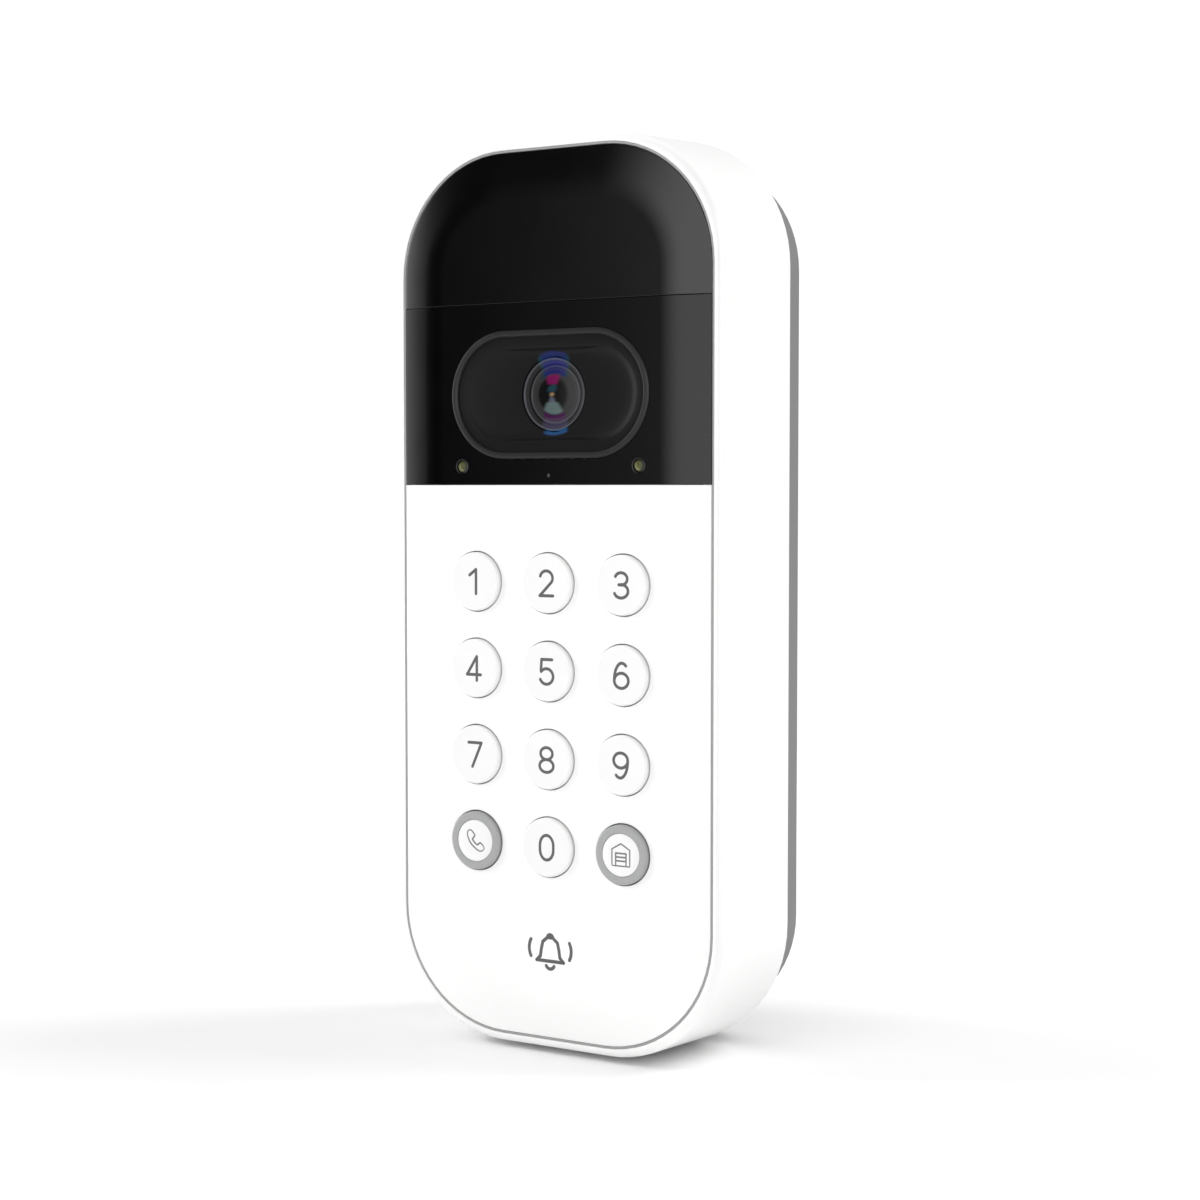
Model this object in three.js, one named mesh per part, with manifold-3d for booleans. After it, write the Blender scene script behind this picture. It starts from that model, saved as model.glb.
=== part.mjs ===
// A battery video doorbell with a keypad, hooked on a wall bracket. Millimetres.
// +X is right as a visitor sees it, +Y points into the wall, +Z is up.
// The origin is the centre of the bracket's wall face.
import * as THREE from 'three';
import { mergeVertices } from 'three/addons/utils/BufferGeometryUtils.js';
import Module from 'manifold-3d';

const wasm = await Module();
wasm.setup();

// ---------------------------------------------------------------- driving dimensions

const GAP = 0.3; // clearance between touching pieces
const CORNER_STEPS = 5; // curve divisions, each of two facets, in a quarter circle of the large outlines
const ROUND_STEPS = 16; // facets round a small turned piece

// Outlines are upright rounded rectangles: half width, half height, corner radius.
const HOUSING_BACK = { w: 34.1, h: 79.3, r: 22.7 };
const HOUSING_FRONT = { w: 33.0, h: 78.2, r: 21.8 };
const REVEAL = { w: 31.35, h: 76.6, r: 21.0 };
const BRACKET_INSET = 2.9;
const BRACKET = inset(HOUSING_BACK, BRACKET_INSET);

// Stations along Y, from the wall forwards.
const BRACKET_DEPTH = 9.4;
const HOUSING_REAR_Y = -BRACKET_DEPTH;
const RIM_Y = -31.8;
const FACE_Y = -33.1;
const PANEL_BACK_Y = -30.9;
const KEY_TOP_Y = -33.8;
const BEZEL_TOP_Y = -33.5;

const WALL = 1.7; // housing wall
const RIM_ROUND = 1.3; // rounding of the housing's front edge
const SPLIT_Z = 19.35; // keypad panel below, camera window above
const SEAM_Z = 50.4; // camera window below, sensor window above

const KEY = { radius: 5.12, hole: 5.45, flange: 6.4, pitchX: 14.9, pitchZ: 15.13, topRowZ: 2.53 };
const KEYPAD_Z = KEY.topRowZ - 1.5 * KEY.pitchZ; // middle of the four rows
const DISC_RADIUS = 3.5; // white centre of a function key
const CAMERA = { z: 34.76, w: 20, h: 11.05, ring: 1.2 };
const LENS = { radius: 6.28, frontY: -31.3, rearY: -21 };
const LED = { x: 17.9, z: 22.5, radius: 1.1 };
const MIC = { z: 20.9, radius: 0.4 };
const PIR = { z: 62, radius: 8 };
const BUTTON = { z: 20, radius: 2.9, flange: 4.2 };

const BATTERY = { w: 19.2, bottom: -68.5, top: -14.5, frontY: -21.9, rearY: -2.5, cell: 8.5 };
const CASE_WALL = 0.9; // battery case
const TUB = { clear: 0.4, wall: 1.2 };
const LIFT = 6; // upward travel that frees the hooks
const HOOKS = { x: 25.5, halfWidth: 2.4, upperZ: 46, lowerZ: -34, drop: 3.5 };
const COVER = { rearY: -9.7, frontY: -11.4 };
const LOCK_SCREW = { y: -5.4, shank: 1.4, head: 2.8, bottom: -78.4 };
const BOSS = { x: 26.5, z: 64, radius: 3, rearY: -13.2 };
const CASE_SCREW = { head: 2.5, shank: 1.05, hole: 1.35, tipY: -19.5 };
const WALL_SLOTS = [[0, 62], [22, 8], [-22, 8], [24.5, -56], [-24.5, -56]];

// The layers between the rear cover and the front panels: rear and front stations along Y.
const LAYER = {
  mainBoard: [-14.4, -15.8],
  frame: [-24, -25.2],
  keypadBoard: [-25.5, -26.7],
  frontBoard: [-26.2, -27.4],
  lightGuide: [-27, -27.6],
  chips: [-27.7, -28.6],
  mat: [-27.9, -28.7],
};

// ---------------------------------------------------------------- materials

const plastic = (color, roughness) => new THREE.MeshStandardMaterial({ color, roughness, metalness: 0 });
const metal = (color, roughness) => new THREE.MeshStandardMaterial({ color, roughness, metalness: 1 });
const FINISH = {
  white: plastic(0xf7f7f6, 0.35),
  keyWhite: plastic(0xf2f2f1, 0.45),
  keyGrey: plastic(0xb5b6b7, 0.45),
  bracketGrey: plastic(0x909090, 0.55),
  coverGrey: plastic(0xb9babb, 0.6),
  blackGloss: plastic(0x161617, 0.12),
  blackMatt: plastic(0x1c1c1d, 0.6),
  bezel: plastic(0x2b2b2d, 0.3),
  gasketGrey: plastic(0xababab, 0.7),
  rubber: plastic(0x2a2a2b, 0.85),
  silicone: plastic(0xdedfda, 0.7),
  clear: plastic(0xdfe6ea, 0.08),
  glass: plastic(0x1e2a44, 0.03),
  amber: plastic(0xa89a4e, 0.3),
  board: plastic(0x1f5a35, 0.5),
  flex: plastic(0xb06a1e, 0.45),
  cell: plastic(0x2b6f8f, 0.4),
  steel: metal(0xb9bcc0, 0.3),
  tin: metal(0xc9cbcd, 0.35),
};

// ---------------------------------------------------------------- shape helpers

function inset(o, d) {
  return { w: o.w - d, h: o.h - d, r: Math.max(o.r - d, 0.2) };
}

// Turns a closed geometry into a manifold solid with its faces pointing out.
function solid(geometry) {
  geometry.deleteAttribute('normal');
  geometry.deleteAttribute('uv');
  const merged = mergeVertices(geometry, 1e-4);
  const positions = merged.attributes.position.array;
  const index = merged.index.array;
  const triangles = [];
  for (let i = 0; i < index.length; i += 3) {
    const [a, b, c] = [index[i], index[i + 1], index[i + 2]];
    if (a !== b && b !== c && c !== a) triangles.push(a, b, c);
  }
  if (signedVolume(positions, triangles) < 0) triangles.reverse();
  const options = {
    numProp: 3,
    vertProperties: new Float32Array(positions),
    triVerts: new Uint32Array(triangles),
  };
  return new wasm.Manifold(new wasm.Mesh(options));
}

function signedVolume(p, triangles) {
  const point = (i) => new THREE.Vector3(p[3 * i], p[3 * i + 1], p[3 * i + 2]);
  let sum = 0;
  for (let i = 0; i < triangles.length; i += 3) {
    const [a, b, c] = [point(triangles[i]), point(triangles[i + 1]), point(triangles[i + 2])];
    sum += a.dot(b.cross(c));
  }
  return sum;
}

const join = (first, ...others) => others.reduce((sum, other) => sum.add(other), first);
const cut = (first, ...tools) => tools.reduce((rest, tool) => rest.subtract(tool), first);

function mesh(name, body, material, position = [0, 0, 0]) {
  const { vertProperties, triVerts } = body.getMesh();
  const geometry = new THREE.BufferGeometry();
  geometry.setAttribute('position', new THREE.BufferAttribute(vertProperties, 3));
  geometry.setIndex(new THREE.BufferAttribute(triVerts, 1));
  geometry.computeVertexNormals();
  const piece = new THREE.Mesh(geometry, material);
  piece.name = name;
  piece.position.set(...position);
  return piece;
}

// A rounded rectangle about (x, z), given by half sizes.
function roundedRect({ w, h, r }, x = 0, z = 0) {
  const shape = new THREE.Shape();
  shape.absarc(x + w - r, z + h - r, r, 0, Math.PI / 2);
  shape.absarc(x - w + r, z + h - r, r, Math.PI / 2, Math.PI);
  shape.absarc(x - w + r, z - h + r, r, Math.PI, 1.5 * Math.PI);
  shape.absarc(x + w - r, z - h + r, r, 1.5 * Math.PI, 2 * Math.PI);
  return shape;
}

const stadium = (w, h, z) => roundedRect({ w, h, r: h - 0.01 }, 0, z);

// Extrudes an outline in the XZ plane from rearY forwards to frontY.
function plate(shape, rearY, frontY, curveSegments = CORNER_STEPS) {
  const depth = rearY - frontY;
  const geometry = new THREE.ExtrudeGeometry(shape, { depth, curveSegments, bevelEnabled: false });
  return solid(geometry.rotateX(Math.PI / 2).translate(0, rearY, 0));
}

// A solid whose rounded-rectangle outline changes from station to station along Y.
function loft(stations) {
  const base = stations[0];
  const steps = stations.length - 1;
  const geometry = new THREE.ExtrudeGeometry(roundedRect(base), {
    depth: steps,
    steps,
    curveSegments: CORNER_STEPS,
    bevelEnabled: false,
  });
  const p = geometry.attributes.position;
  for (let i = 0; i < p.count; i++) {
    const s = stations[Math.round(p.getZ(i))];
    const [x, z] = [p.getX(i), p.getY(i)];
    const angle = Math.atan2(Math.abs(z) - base.h + base.r, Math.abs(x) - base.w + base.r);
    const newX = Math.sign(x) * (s.w - s.r + s.r * Math.cos(angle));
    const newZ = Math.sign(z) * (s.h - s.r + s.r * Math.sin(angle));
    p.setXYZ(i, newX, s.y, newZ);
  }
  return solid(geometry);
}

// A box by its lowest and highest corners.
function block([x0, y0, z0], [x1, y1, z1]) {
  const geometry = new THREE.BoxGeometry(x1 - x0, y1 - y0, z1 - z0);
  return solid(geometry.translate((x0 + x1) / 2, (y0 + y1) / 2, (z0 + z1) / 2));
}

// A cylinder along Y between two stations.
function pinY(radius, rearY, frontY, x = 0, z = 0, segments = ROUND_STEPS) {
  const geometry = new THREE.CylinderGeometry(radius, radius, rearY - frontY, segments);
  return solid(geometry.translate(x, (rearY + frontY) / 2, z));
}

// A cylinder along Z between two heights.
function pinZ(radius, z0, z1, x = 0, y = 0, segments = ROUND_STEPS) {
  const geometry = new THREE.CylinderGeometry(radius, radius, z1 - z0, segments);
  return solid(geometry.rotateX(Math.PI / 2).translate(x, y, (z0 + z1) / 2));
}

// A turned piece about the Y axis, from [radius, y] pairs that start and end on the axis.
function turned(profile, segments = ROUND_STEPS) {
  const points = profile.map(([radius, y]) => new THREE.Vector2(radius, y));
  return solid(new THREE.LatheGeometry(points, segments));
}

// The four mirror images of a point, in the order upper right, upper left, lower left, lower right.
const fourCorners = (x, z) => [[x, z], [-x, z], [-x, -z], [x, -z]];

// Depth of the crowned front surface at a given distance in from its edge: flat in the middle,
// an even slope at the margin and a blend between them.
function crownY(distance) {
  const slopeWidth = 5.35;
  const blendWidth = 4.65;
  const slope = (RIM_Y - FACE_Y) / (slopeWidth + blendWidth / 2);
  if (distance <= slopeWidth) return RIM_Y - slope * distance;
  const t = Math.min((distance - slopeWidth) / blendWidth, 1);
  return RIM_Y - slope * (slopeWidth + blendWidth * (t - (t * t) / 2));
}

// ---------------------------------------------------------------- wall bracket

function wallBracket() {
  const plateThickness = 1.8;
  const rimThickness = 1.8;
  const windowClear = 0.5;
  const frontY = HOUSING_REAR_Y + GAP;
  const outer = loft([{ ...inset(BRACKET, 0.4), y: 0 }, { ...BRACKET, y: -0.8 }, { ...BRACKET, y: frontY }]);
  const hollow = plate(roundedRect(inset(BRACKET, rimThickness)), -plateThickness, frontY - 1);
  const window = block(
    [-BATTERY.w - windowClear, -plateThickness - 1, BATTERY.bottom - windowClear],
    [BATTERY.w + windowClear, 1, BATTERY.top + LIFT + windowClear],
  );
  let body = cut(outer, hollow, window);
  for (const side of [-1, 1]) {
    for (const z of [HOOKS.upperZ, HOOKS.lowerZ]) body = body.add(hookBar(side, z));
  }
  const screwHole = pinZ(LOCK_SCREW.shank + 0.4, -BRACKET.h - 1, -BRACKET.h + 4, 0, LOCK_SCREW.y);
  return cut(body, ...WALL_SLOTS.map(([x, z]) => wallSlot(x, z)), screwHole);
}

// A shelf on the rim that a hook of the rear cover drops behind.
function hookBar(side, z) {
  const x0 = side * (HOOKS.x - HOOKS.halfWidth - 1);
  const x1 = side * (BRACKET.w - 1);
  const [frontY, rearY] = [-6.8, -4.9];
  return block([Math.min(x0, x1), frontY, z - HOOKS.drop], [Math.max(x0, x1), rearY, z]);
}

// An upright slot for a wall screw.
function wallSlot(x, z) {
  return plate(roundedRect({ w: 1.95, h: 4, r: 1.94 }, x, z), 1, -3, 4);
}

function lockingScrew() {
  const { y, shank, head, bottom } = LOCK_SCREW;
  const headTop = bottom + 1.7;
  const tip = -69.8;
  const body = join(pinZ(head, bottom, headTop, 0, y), pinZ(shank, headTop - 0.3, tip, 0, y));
  const slotDepth = 0.8;
  return cut(body, block([-head, y - 0.35, bottom - 1], [head, y + 0.35, bottom + slotDepth]));
}

// ---------------------------------------------------------------- housing and covers

function mainHousing() {
  const edge = 0.5;
  const shell = loft([
    { ...inset(HOUSING_BACK, edge), y: HOUSING_REAR_Y },
    { ...HOUSING_BACK, y: HOUSING_REAR_Y - edge },
    { ...HOUSING_FRONT, y: RIM_Y + RIM_ROUND },
    { ...inset(HOUSING_FRONT, 0.38), y: RIM_Y + 0.38 },
    { ...inset(HOUSING_FRONT, RIM_ROUND), y: RIM_Y },
  ]);
  const cavityFront = -28.6;
  const cavity = loft([
    { ...inset(HOUSING_BACK, WALL), y: HOUSING_REAR_Y + 1 },
    { ...inset(HOUSING_FRONT, WALL), y: cavityFront },
  ]);
  const panelSeat = plate(roundedRect(inset(REVEAL, -0.35)), PANEL_BACK_Y + 0.3, RIM_Y - 1);
  const opening = plate(roundedRect(inset(REVEAL, 2.2)), cavityFront + 1, RIM_Y - 1);
  let body = cut(shell, cavity, panelSeat, opening);
  for (const [x, z] of fourCorners(BOSS.x, BOSS.z)) {
    body = body.add(pinY(BOSS.radius, BOSS.rearY, cavityFront - 0.5, x, z, 14));
    body = body.subtract(pinY(CASE_SCREW.hole, COVER.rearY, CASE_SCREW.tipY - 1.5, x, z, 10));
  }
  return cut(body, ...soundSlots());
}

// Five slots through the underside, in front of the loudspeaker.
function soundSlots() {
  const pitch = 3.2;
  const halfWidth = 0.7;
  const [frontY, rearY] = [-25, -15];
  return [-2, -1, 0, 1, 2].map((i) => {
    const x = i * pitch;
    return block([x - halfWidth, frontY, -HOUSING_BACK.h - 1], [x + halfWidth, rearY, -HOUSING_BACK.h + 5]);
  });
}

function revealGasket() {
  const outer = plate(roundedRect(inset(REVEAL, -0.1)), PANEL_BACK_Y, RIM_Y - 0.02);
  return cut(outer, plate(roundedRect(inset(REVEAL, 0.25)), 0, -40));
}

// The crowned sheet that the three front panels are cut from.
function frontSheet() {
  const outline = inset(REVEAL, 0.55);
  const stations = [{ ...outline, y: PANEL_BACK_Y }];
  for (const d of [0, 5.3, 7.2, 10]) stations.push({ ...inset(outline, d), y: crownY(d) });
  return loft(stations);
}

function slab(z0, z1) {
  return block([-50, -60, z0], [50, 0, z1]);
}

function keypadPanel(sheet) {
  let body = sheet.intersect(slab(-100, SPLIT_Z - GAP / 2));
  for (const { x, z } of keyPlaces()) body = body.subtract(pinY(KEY.hole, 0, -40, x, z));
  return body;
}

function cameraWindow(sheet) {
  const opening = plate(stadium(CAMERA.w + GAP, CAMERA.h + GAP, CAMERA.z), 0, -40);
  const leds = [-1, 1].map((side) => pinY(LED.radius + GAP, 0, -40, side * LED.x, LED.z, 16));
  const port = pinY(MIC.radius, 0, -40, 0, MIC.z, 12);
  return cut(sheet.intersect(slab(SPLIT_Z + GAP / 2, SEAM_Z - GAP / 2)), opening, ...leds, port);
}

function sensorWindow(sheet) {
  return sheet.intersect(slab(SEAM_Z + GAP / 2, 100));
}

function rearCover() {
  const outline = inset(HOUSING_BACK, WALL + GAP + 0.2);
  const clear = TUB.clear;
  const wall = clear + TUB.wall;
  const tub = block(
    [-BATTERY.w - wall, BATTERY.frontY - wall, BATTERY.bottom - wall],
    [BATTERY.w + wall, COVER.rearY, BATTERY.top + wall],
  );
  const bay = block(
    [-BATTERY.w - clear, BATTERY.frontY - clear, BATTERY.bottom - clear],
    [BATTERY.w + clear, 0, BATTERY.top + clear],
  );
  let body = cut(join(plate(roundedRect(outline), COVER.rearY, COVER.frontY), tub), bay);
  for (const side of [-1, 1]) {
    for (const z of [HOOKS.upperZ, HOOKS.lowerZ]) body = body.add(coverHook(side * HOOKS.x, z));
  }
  for (const [x, z] of fourCorners(BOSS.x, BOSS.z)) {
    const shankHole = pinY(CASE_SCREW.shank + 0.55, 0, -20, x, z, 10);
    body = cut(body, shankHole, pinY(CASE_SCREW.head + 0.4, 0, COVER.rearY - 0.9, x, z, 14));
  }
  const footTop = -70.4;
  const foot = block([-5, COVER.rearY - 1, footTop - 3.6], [5, -3, footTop]);
  const screwBore = pinZ(LOCK_SCREW.shank + 0.35, -HOUSING_BACK.h, footTop + 1, 0, LOCK_SCREW.y);
  const buttonHole = pinY(BUTTON.radius + 0.4, 0, -20, 0, BUTTON.z, 20);
  const contactSlots = [-4, 0, 4].map((x) => block([x - 0.8, -17, BATTERY.top], [x + 0.8, -13, BATTERY.top + 3]));
  return cut(body.add(foot), screwBore, buttonHole, ...contactSlots);
}

// An L-shaped hook: a stem above the bracket's bar and a tip that hangs down behind it.
function coverHook(x, z) {
  const w = HOOKS.halfWidth;
  const [frontY, rearY] = [-4.6, -2.7];
  const stem = block([x - w, rearY, z + GAP], [x + w, COVER.rearY - 0.5, z + GAP + 3]);
  const tip = block([x - w, rearY, z - HOOKS.drop], [x + w, frontY, z + GAP + 1]);
  return join(stem, tip);
}

function coverSeal() {
  const outline = inset(HOUSING_BACK, WALL + 1.6);
  const section = 1.2;
  const rearY = COVER.frontY - GAP;
  const ring = plate(roundedRect(outline), rearY, rearY - section);
  return cut(ring, plate(roundedRect(inset(outline, section)), 0, -40));
}

function innerFrame() {
  const outline = { w: 28.6, h: 73, r: 18 };
  const bossHoles = fourCorners(BOSS.x, BOSS.z).map(([x, z]) => pinY(BOSS.radius + 0.5, 0, -40, x, z, 14));
  const lensHole = pinY(LENS.radius + 0.5, 0, -40, 0, CAMERA.z);
  const pirHole = pinY(PIR.radius + 0.4, 0, -40, 0, PIR.z);
  const cableHole = block([-6, -30, 10], [6, -20, 17]);
  return cut(plate(roundedRect(outline), ...LAYER.frame), ...bossHoles, lensHole, pirHole, cableHole);
}

function caseScrew() {
  const rearY = COVER.rearY;
  const { head, shank, tipY } = CASE_SCREW;
  const body = join(pinY(head, rearY, rearY - 0.6, 0, 0, 14), pinY(shank, rearY - 0.3, tipY, 0, 0, 10));
  const [long, short, bottomY] = [1.6, 0.3, rearY - 0.3];
  const across = block([-long, bottomY, -short], [long, rearY + 1, short]);
  return cut(body, across, block([-short, bottomY, -long], [short, rearY + 1, long]));
}

// ---------------------------------------------------------------- keypad

// The centres of the twelve keys, row by row from the top.
function keyPlaces() {
  const names = ['1', '2', '3', '4', '5', '6', '7', '8', '9', 'call', '0', 'garage'];
  return names.map((name, i) => ({
    name,
    x: ((i % 3) - 1) * KEY.pitchX,
    z: KEY.topRowZ - Math.floor(i / 3) * KEY.pitchZ,
  }));
}

// A key about its own centre, with its back open round the dome of the keypad mat.
function keyCap() {
  const flangeFront = PANEL_BACK_Y + GAP;
  const flangeBack = flangeFront + 0.7;
  return turned([
    [0, KEY_TOP_Y],
    [KEY.radius - 0.6, KEY_TOP_Y],
    [KEY.radius - 0.15, KEY_TOP_Y + 0.2],
    [KEY.radius, KEY_TOP_Y + 0.6],
    [KEY.radius, flangeFront],
    [KEY.flange, flangeFront],
    [KEY.flange, flangeBack],
    [3.5, flangeBack],
    [3.5, flangeBack - 1.4],
    [0, flangeBack - 1.4],
  ]);
}

function functionKeyRing() {
  return cut(keyCap(), pinY(DISC_RADIUS + GAP, KEY_TOP_Y + 1, KEY_TOP_Y - 1));
}

function functionKeyDisc() {
  return pinY(DISC_RADIUS, KEY_TOP_Y + 1 - GAP, KEY_TOP_Y + 0.02);
}

function keypadMat() {
  const [rearY, frontY] = LAYER.mat;
  const [domeRadius, domeY] = [2.8, -30.2];
  const [stemRadius, stemY] = [1.8, -27];
  let body = plate(roundedRect({ w: 22.5, h: 30.5, r: 3 }, 0, KEYPAD_Z), rearY, frontY, 4);
  for (const { x, z } of keyPlaces()) {
    const dome = pinY(domeRadius, frontY + 0.4, domeY, x, z, 12);
    body = join(body, dome, pinY(stemRadius, stemY, frontY + 0.4, x, z, 8));
  }
  return body;
}

function lightGuide() {
  const body = plate(roundedRect({ w: 22.5, h: 30.5, r: 3 }, 0, KEYPAD_Z), ...LAYER.lightGuide, 4);
  return cut(body, ...keyPlaces().map(({ x, z }) => pinY(2.2, 0, -40, x, z, 8)));
}

function keypadBoard() {
  const outline = { w: 23, h: 32, r: 2 };
  const top = KEYPAD_Z + outline.h;
  const cableNotch = block([-6, -30, top - 1.8], [6, -20, top + 1]);
  return cut(plate(roundedRect(outline, 0, KEYPAD_Z), ...LAYER.keypadBoard, 3), cableNotch);
}

function keyBody(group, key, caps) {
  const isFunction = key.name === 'call' || key.name === 'garage';
  const place = [key.x, 0, key.z];
  if (!isFunction) {
    group.add(mesh(`key_${key.name}`, caps.plain, FINISH.keyWhite, place));
    return;
  }
  group.add(mesh(`${key.name}_key_ring`, caps.ring, FINISH.keyGrey, place));
  group.add(mesh(`${key.name}_key_disc`, caps.disc, FINISH.keyWhite, place));
}

function keypad() {
  const group = new THREE.Group();
  const caps = { plain: keyCap(), ring: functionKeyRing(), disc: functionKeyDisc() };
  for (const key of keyPlaces()) keyBody(group, key, caps);
  group.add(mesh('keypad_mat', keypadMat(), FINISH.silicone));
  group.add(mesh('light_guide', lightGuide(), FINISH.clear));
  group.add(mesh('keypad_board', keypadBoard(), FINISH.board));
  return group;
}

// ---------------------------------------------------------------- camera, about the lens axis

function cameraBezel() {
  const outline = { w: CAMERA.w, h: CAMERA.h, r: CAMERA.h - 0.01 };
  const edge = 0.4;
  const ring = loft([
    { ...outline, y: PANEL_BACK_Y },
    { ...outline, y: BEZEL_TOP_Y + edge },
    { ...inset(outline, edge), y: BEZEL_TOP_Y },
  ]);
  return cut(ring, plate(stadium(CAMERA.w - CAMERA.ring, CAMERA.h - CAMERA.ring, 0), 0, -40));
}

function cameraDish() {
  const edge = CAMERA.ring + GAP;
  const [rearY, floorY, rimY, frontY] = [-30.2, -31.4, -32.6, -32.9];
  const body = plate(stadium(CAMERA.w - edge, CAMERA.h - edge, 0), rearY, frontY);
  const rim = { w: 17.15, h: 8, r: 7.99 };
  const bowl = loft([{ ...inset(rim, 1.4), y: floorY }, { ...rim, y: rimY }, { ...rim, y: frontY - 1 }]);
  return cut(body, bowl, pinY(LENS.radius + GAP, 0, -40));
}

function lensBarrel() {
  const [mouth, throat] = [5.5, 3.6];
  return turned([
    [mouth, LENS.frontY],
    [LENS.radius, LENS.frontY],
    [LENS.radius, LENS.rearY],
    [throat, LENS.rearY],
    [throat, -25],
    [mouth, -28],
    [mouth, LENS.frontY],
  ]);
}

function retainingRing() {
  return cut(pinY(5.2, -29.9, LENS.frontY + 0.3), pinY(3.9, 0, -40));
}

// A glass element with one domed face.
function lensElement(radius, rearY, edgeY, domeY) {
  const profile = [[0, domeY]];
  const steps = 5;
  for (let i = 1; i <= steps; i++) {
    const t = i / steps;
    profile.push([radius * t, domeY + (edgeY - domeY) * t * t]);
  }
  return turned([...profile, [radius, rearY], [0, rearY]]);
}

function lensHolder() {
  const body = block([-8.5, -23.5, -8.5], [8.5, -18, 8.5]);
  return cut(body, pinY(LENS.radius + GAP, -20.5, -30), pinY(5.2, 0, -30));
}

// The ribbon from the camera board down to the main board, folded once.
function cameraFlex() {
  const ribbon = new THREE.Shape();
  const centre = { y: -16.6, z: -15 };
  ribbon.moveTo(-17.4, -11.4);
  ribbon.lineTo(-17.4, centre.z);
  ribbon.absarc(centre.y, centre.z, 0.8, Math.PI, 2 * Math.PI, false);
  ribbon.lineTo(-15.8, -13.4);
  ribbon.lineTo(-16.1, -13.4);
  ribbon.lineTo(-16.1, centre.z);
  ribbon.absarc(centre.y, centre.z, 0.5, 2 * Math.PI, Math.PI, true);
  ribbon.lineTo(-17.1, -11.4);
  const geometry = new THREE.ExtrudeGeometry(ribbon, { depth: 8, curveSegments: 6, bevelEnabled: false });
  geometry.translate(0, 0, -4);
  const axes = new THREE.Matrix4().makeBasis(
    new THREE.Vector3(0, 1, 0),
    new THREE.Vector3(0, 0, 1),
    new THREE.Vector3(1, 0, 0),
  );
  return solid(geometry.applyMatrix4(axes));
}

function camera() {
  const group = new THREE.Group();
  group.position.z = CAMERA.z;
  group.add(mesh('camera_bezel', cameraBezel(), FINISH.bezel));
  group.add(mesh('camera_dish', cameraDish(), FINISH.blackMatt));
  group.add(mesh('lens_barrel', lensBarrel(), FINISH.bezel));
  group.add(mesh('lens_retaining_ring', retainingRing(), FINISH.blackMatt));
  group.add(mesh('front_lens', lensElement(5, -28.3, -29.0, -29.6), FINISH.glass));
  group.add(mesh('rear_lens', lensElement(3.3, -23, -23.6, -24.4), FINISH.glass));
  group.add(mesh('lens_holder', lensHolder(), FINISH.blackMatt));
  group.add(mesh('camera_board', block([-11, -17.7, -11], [11, -16.5, 11]), FINISH.board));
  group.add(mesh('image_sensor', block([-3.5, -19, -3], [3.5, -18, 3]), FINISH.tin));
  return group;
}

// ---------------------------------------------------------------- electronics

function frontBoard() {
  const body = plate(roundedRect({ w: 22, h: 16, r: 2 }, 0, CAMERA.z - 1), ...LAYER.frontBoard, 3);
  return cut(body, pinY(LENS.radius + 0.7, 0, -40, 0, CAMERA.z));
}

function ledLens() {
  const [tipY, collarY, rearY] = [-33, -30.5, -29.6];
  return join(pinY(LED.radius, rearY - 0.4, tipY, 0, 0, 16), pinY(1.9, rearY, collarY, 0, 0, 16));
}

function pirLens() {
  return cut(pinY(PIR.radius, -25.6, -30.3), pinY(PIR.radius - 0.8, 0, -29.6));
}

// A flat loudspeaker that faces down, with its cone in a round-ended recess.
function speaker() {
  const [bottom, top] = [-76, -71.4];
  const middleY = -18.2;
  const frame = block([-11, middleY - 4.8, bottom], [11, middleY + 4.8, top]);
  const recess = { depth: 1.6, curveSegments: 4, bevelEnabled: false };
  const mouth = new THREE.ExtrudeGeometry(roundedRect({ w: 9.6, h: 3.6, r: 3.5 }, 0, middleY), recess);
  return cut(frame, solid(mouth.translate(0, 0, bottom - 0.6)));
}

function shieldCan() {
  return cut(block([-15, -14.1, 26], [15, -12, 48]), block([-14.6, -15, 26.4], [14.6, -12.4, 47.6]));
}

function batteryContacts() {
  const blades = [-4, 0, 4].map((x) => block([x - 0.5, -16, BATTERY.top + 0.4], [x + 0.5, -14, -12]));
  return join(block([-7, -18, -12.5], [7, -12, -9]), ...blades);
}

function mainBoard() {
  const [rearY, frontY] = LAYER.mainBoard;
  return block([-22.8, frontY, -7], [22.8, rearY, 70]);
}

function electronics() {
  const group = new THREE.Group();
  const [chipRear, chipFront] = LAYER.chips;
  group.add(mesh('front_board', frontBoard(), FINISH.board));
  for (const [side, name] of [[-1, 'left'], [1, 'right']]) {
    const x = side * LED.x;
    const chip = block([-1.4, chipFront, -1.4], [1.4, chipRear, 1.4]);
    group.add(mesh(`led_lens_${name}`, ledLens(), FINISH.clear, [x, 0, LED.z]));
    group.add(mesh(`led_chip_${name}`, chip, FINISH.amber, [x, 0, LED.z]));
  }
  group.add(mesh('microphone', block([-1.9, chipFront, -1.5], [1.9, chipRear, 1.5]), FINISH.tin, [0, 0, MIC.z]));
  group.add(mesh('pir_lens', pirLens(), FINISH.silicone, [0, 0, PIR.z]));
  group.add(mesh('pir_sensor', pinY(4.6, -16.1, -20.3), FINISH.tin, [0, 0, PIR.z]));
  group.add(mesh('main_board', mainBoard(), FINISH.board));
  group.add(mesh('shield_can', shieldCan(), FINISH.tin));
  group.add(mesh('wifi_antenna', block([-13, -23, 72.6], [13, -16, 73.4]), FINISH.flex));
  group.add(mesh('speaker', speaker(), FINISH.blackMatt));
  group.add(mesh('battery_contacts', batteryContacts(), FINISH.blackMatt));
  group.add(mesh('camera_flex', cameraFlex(), FINISH.flex, [0, 0, CAMERA.z]));
  return group;
}

function setupButton() {
  const [topY, flangeY, bottomY] = [-9, -11.8, -12.6];
  return join(pinY(BUTTON.radius, topY, flangeY - 0.2, 0, 0, 20), pinY(BUTTON.flange, flangeY, bottomY, 0, 0, 20));
}

// ---------------------------------------------------------------- battery pack

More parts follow.
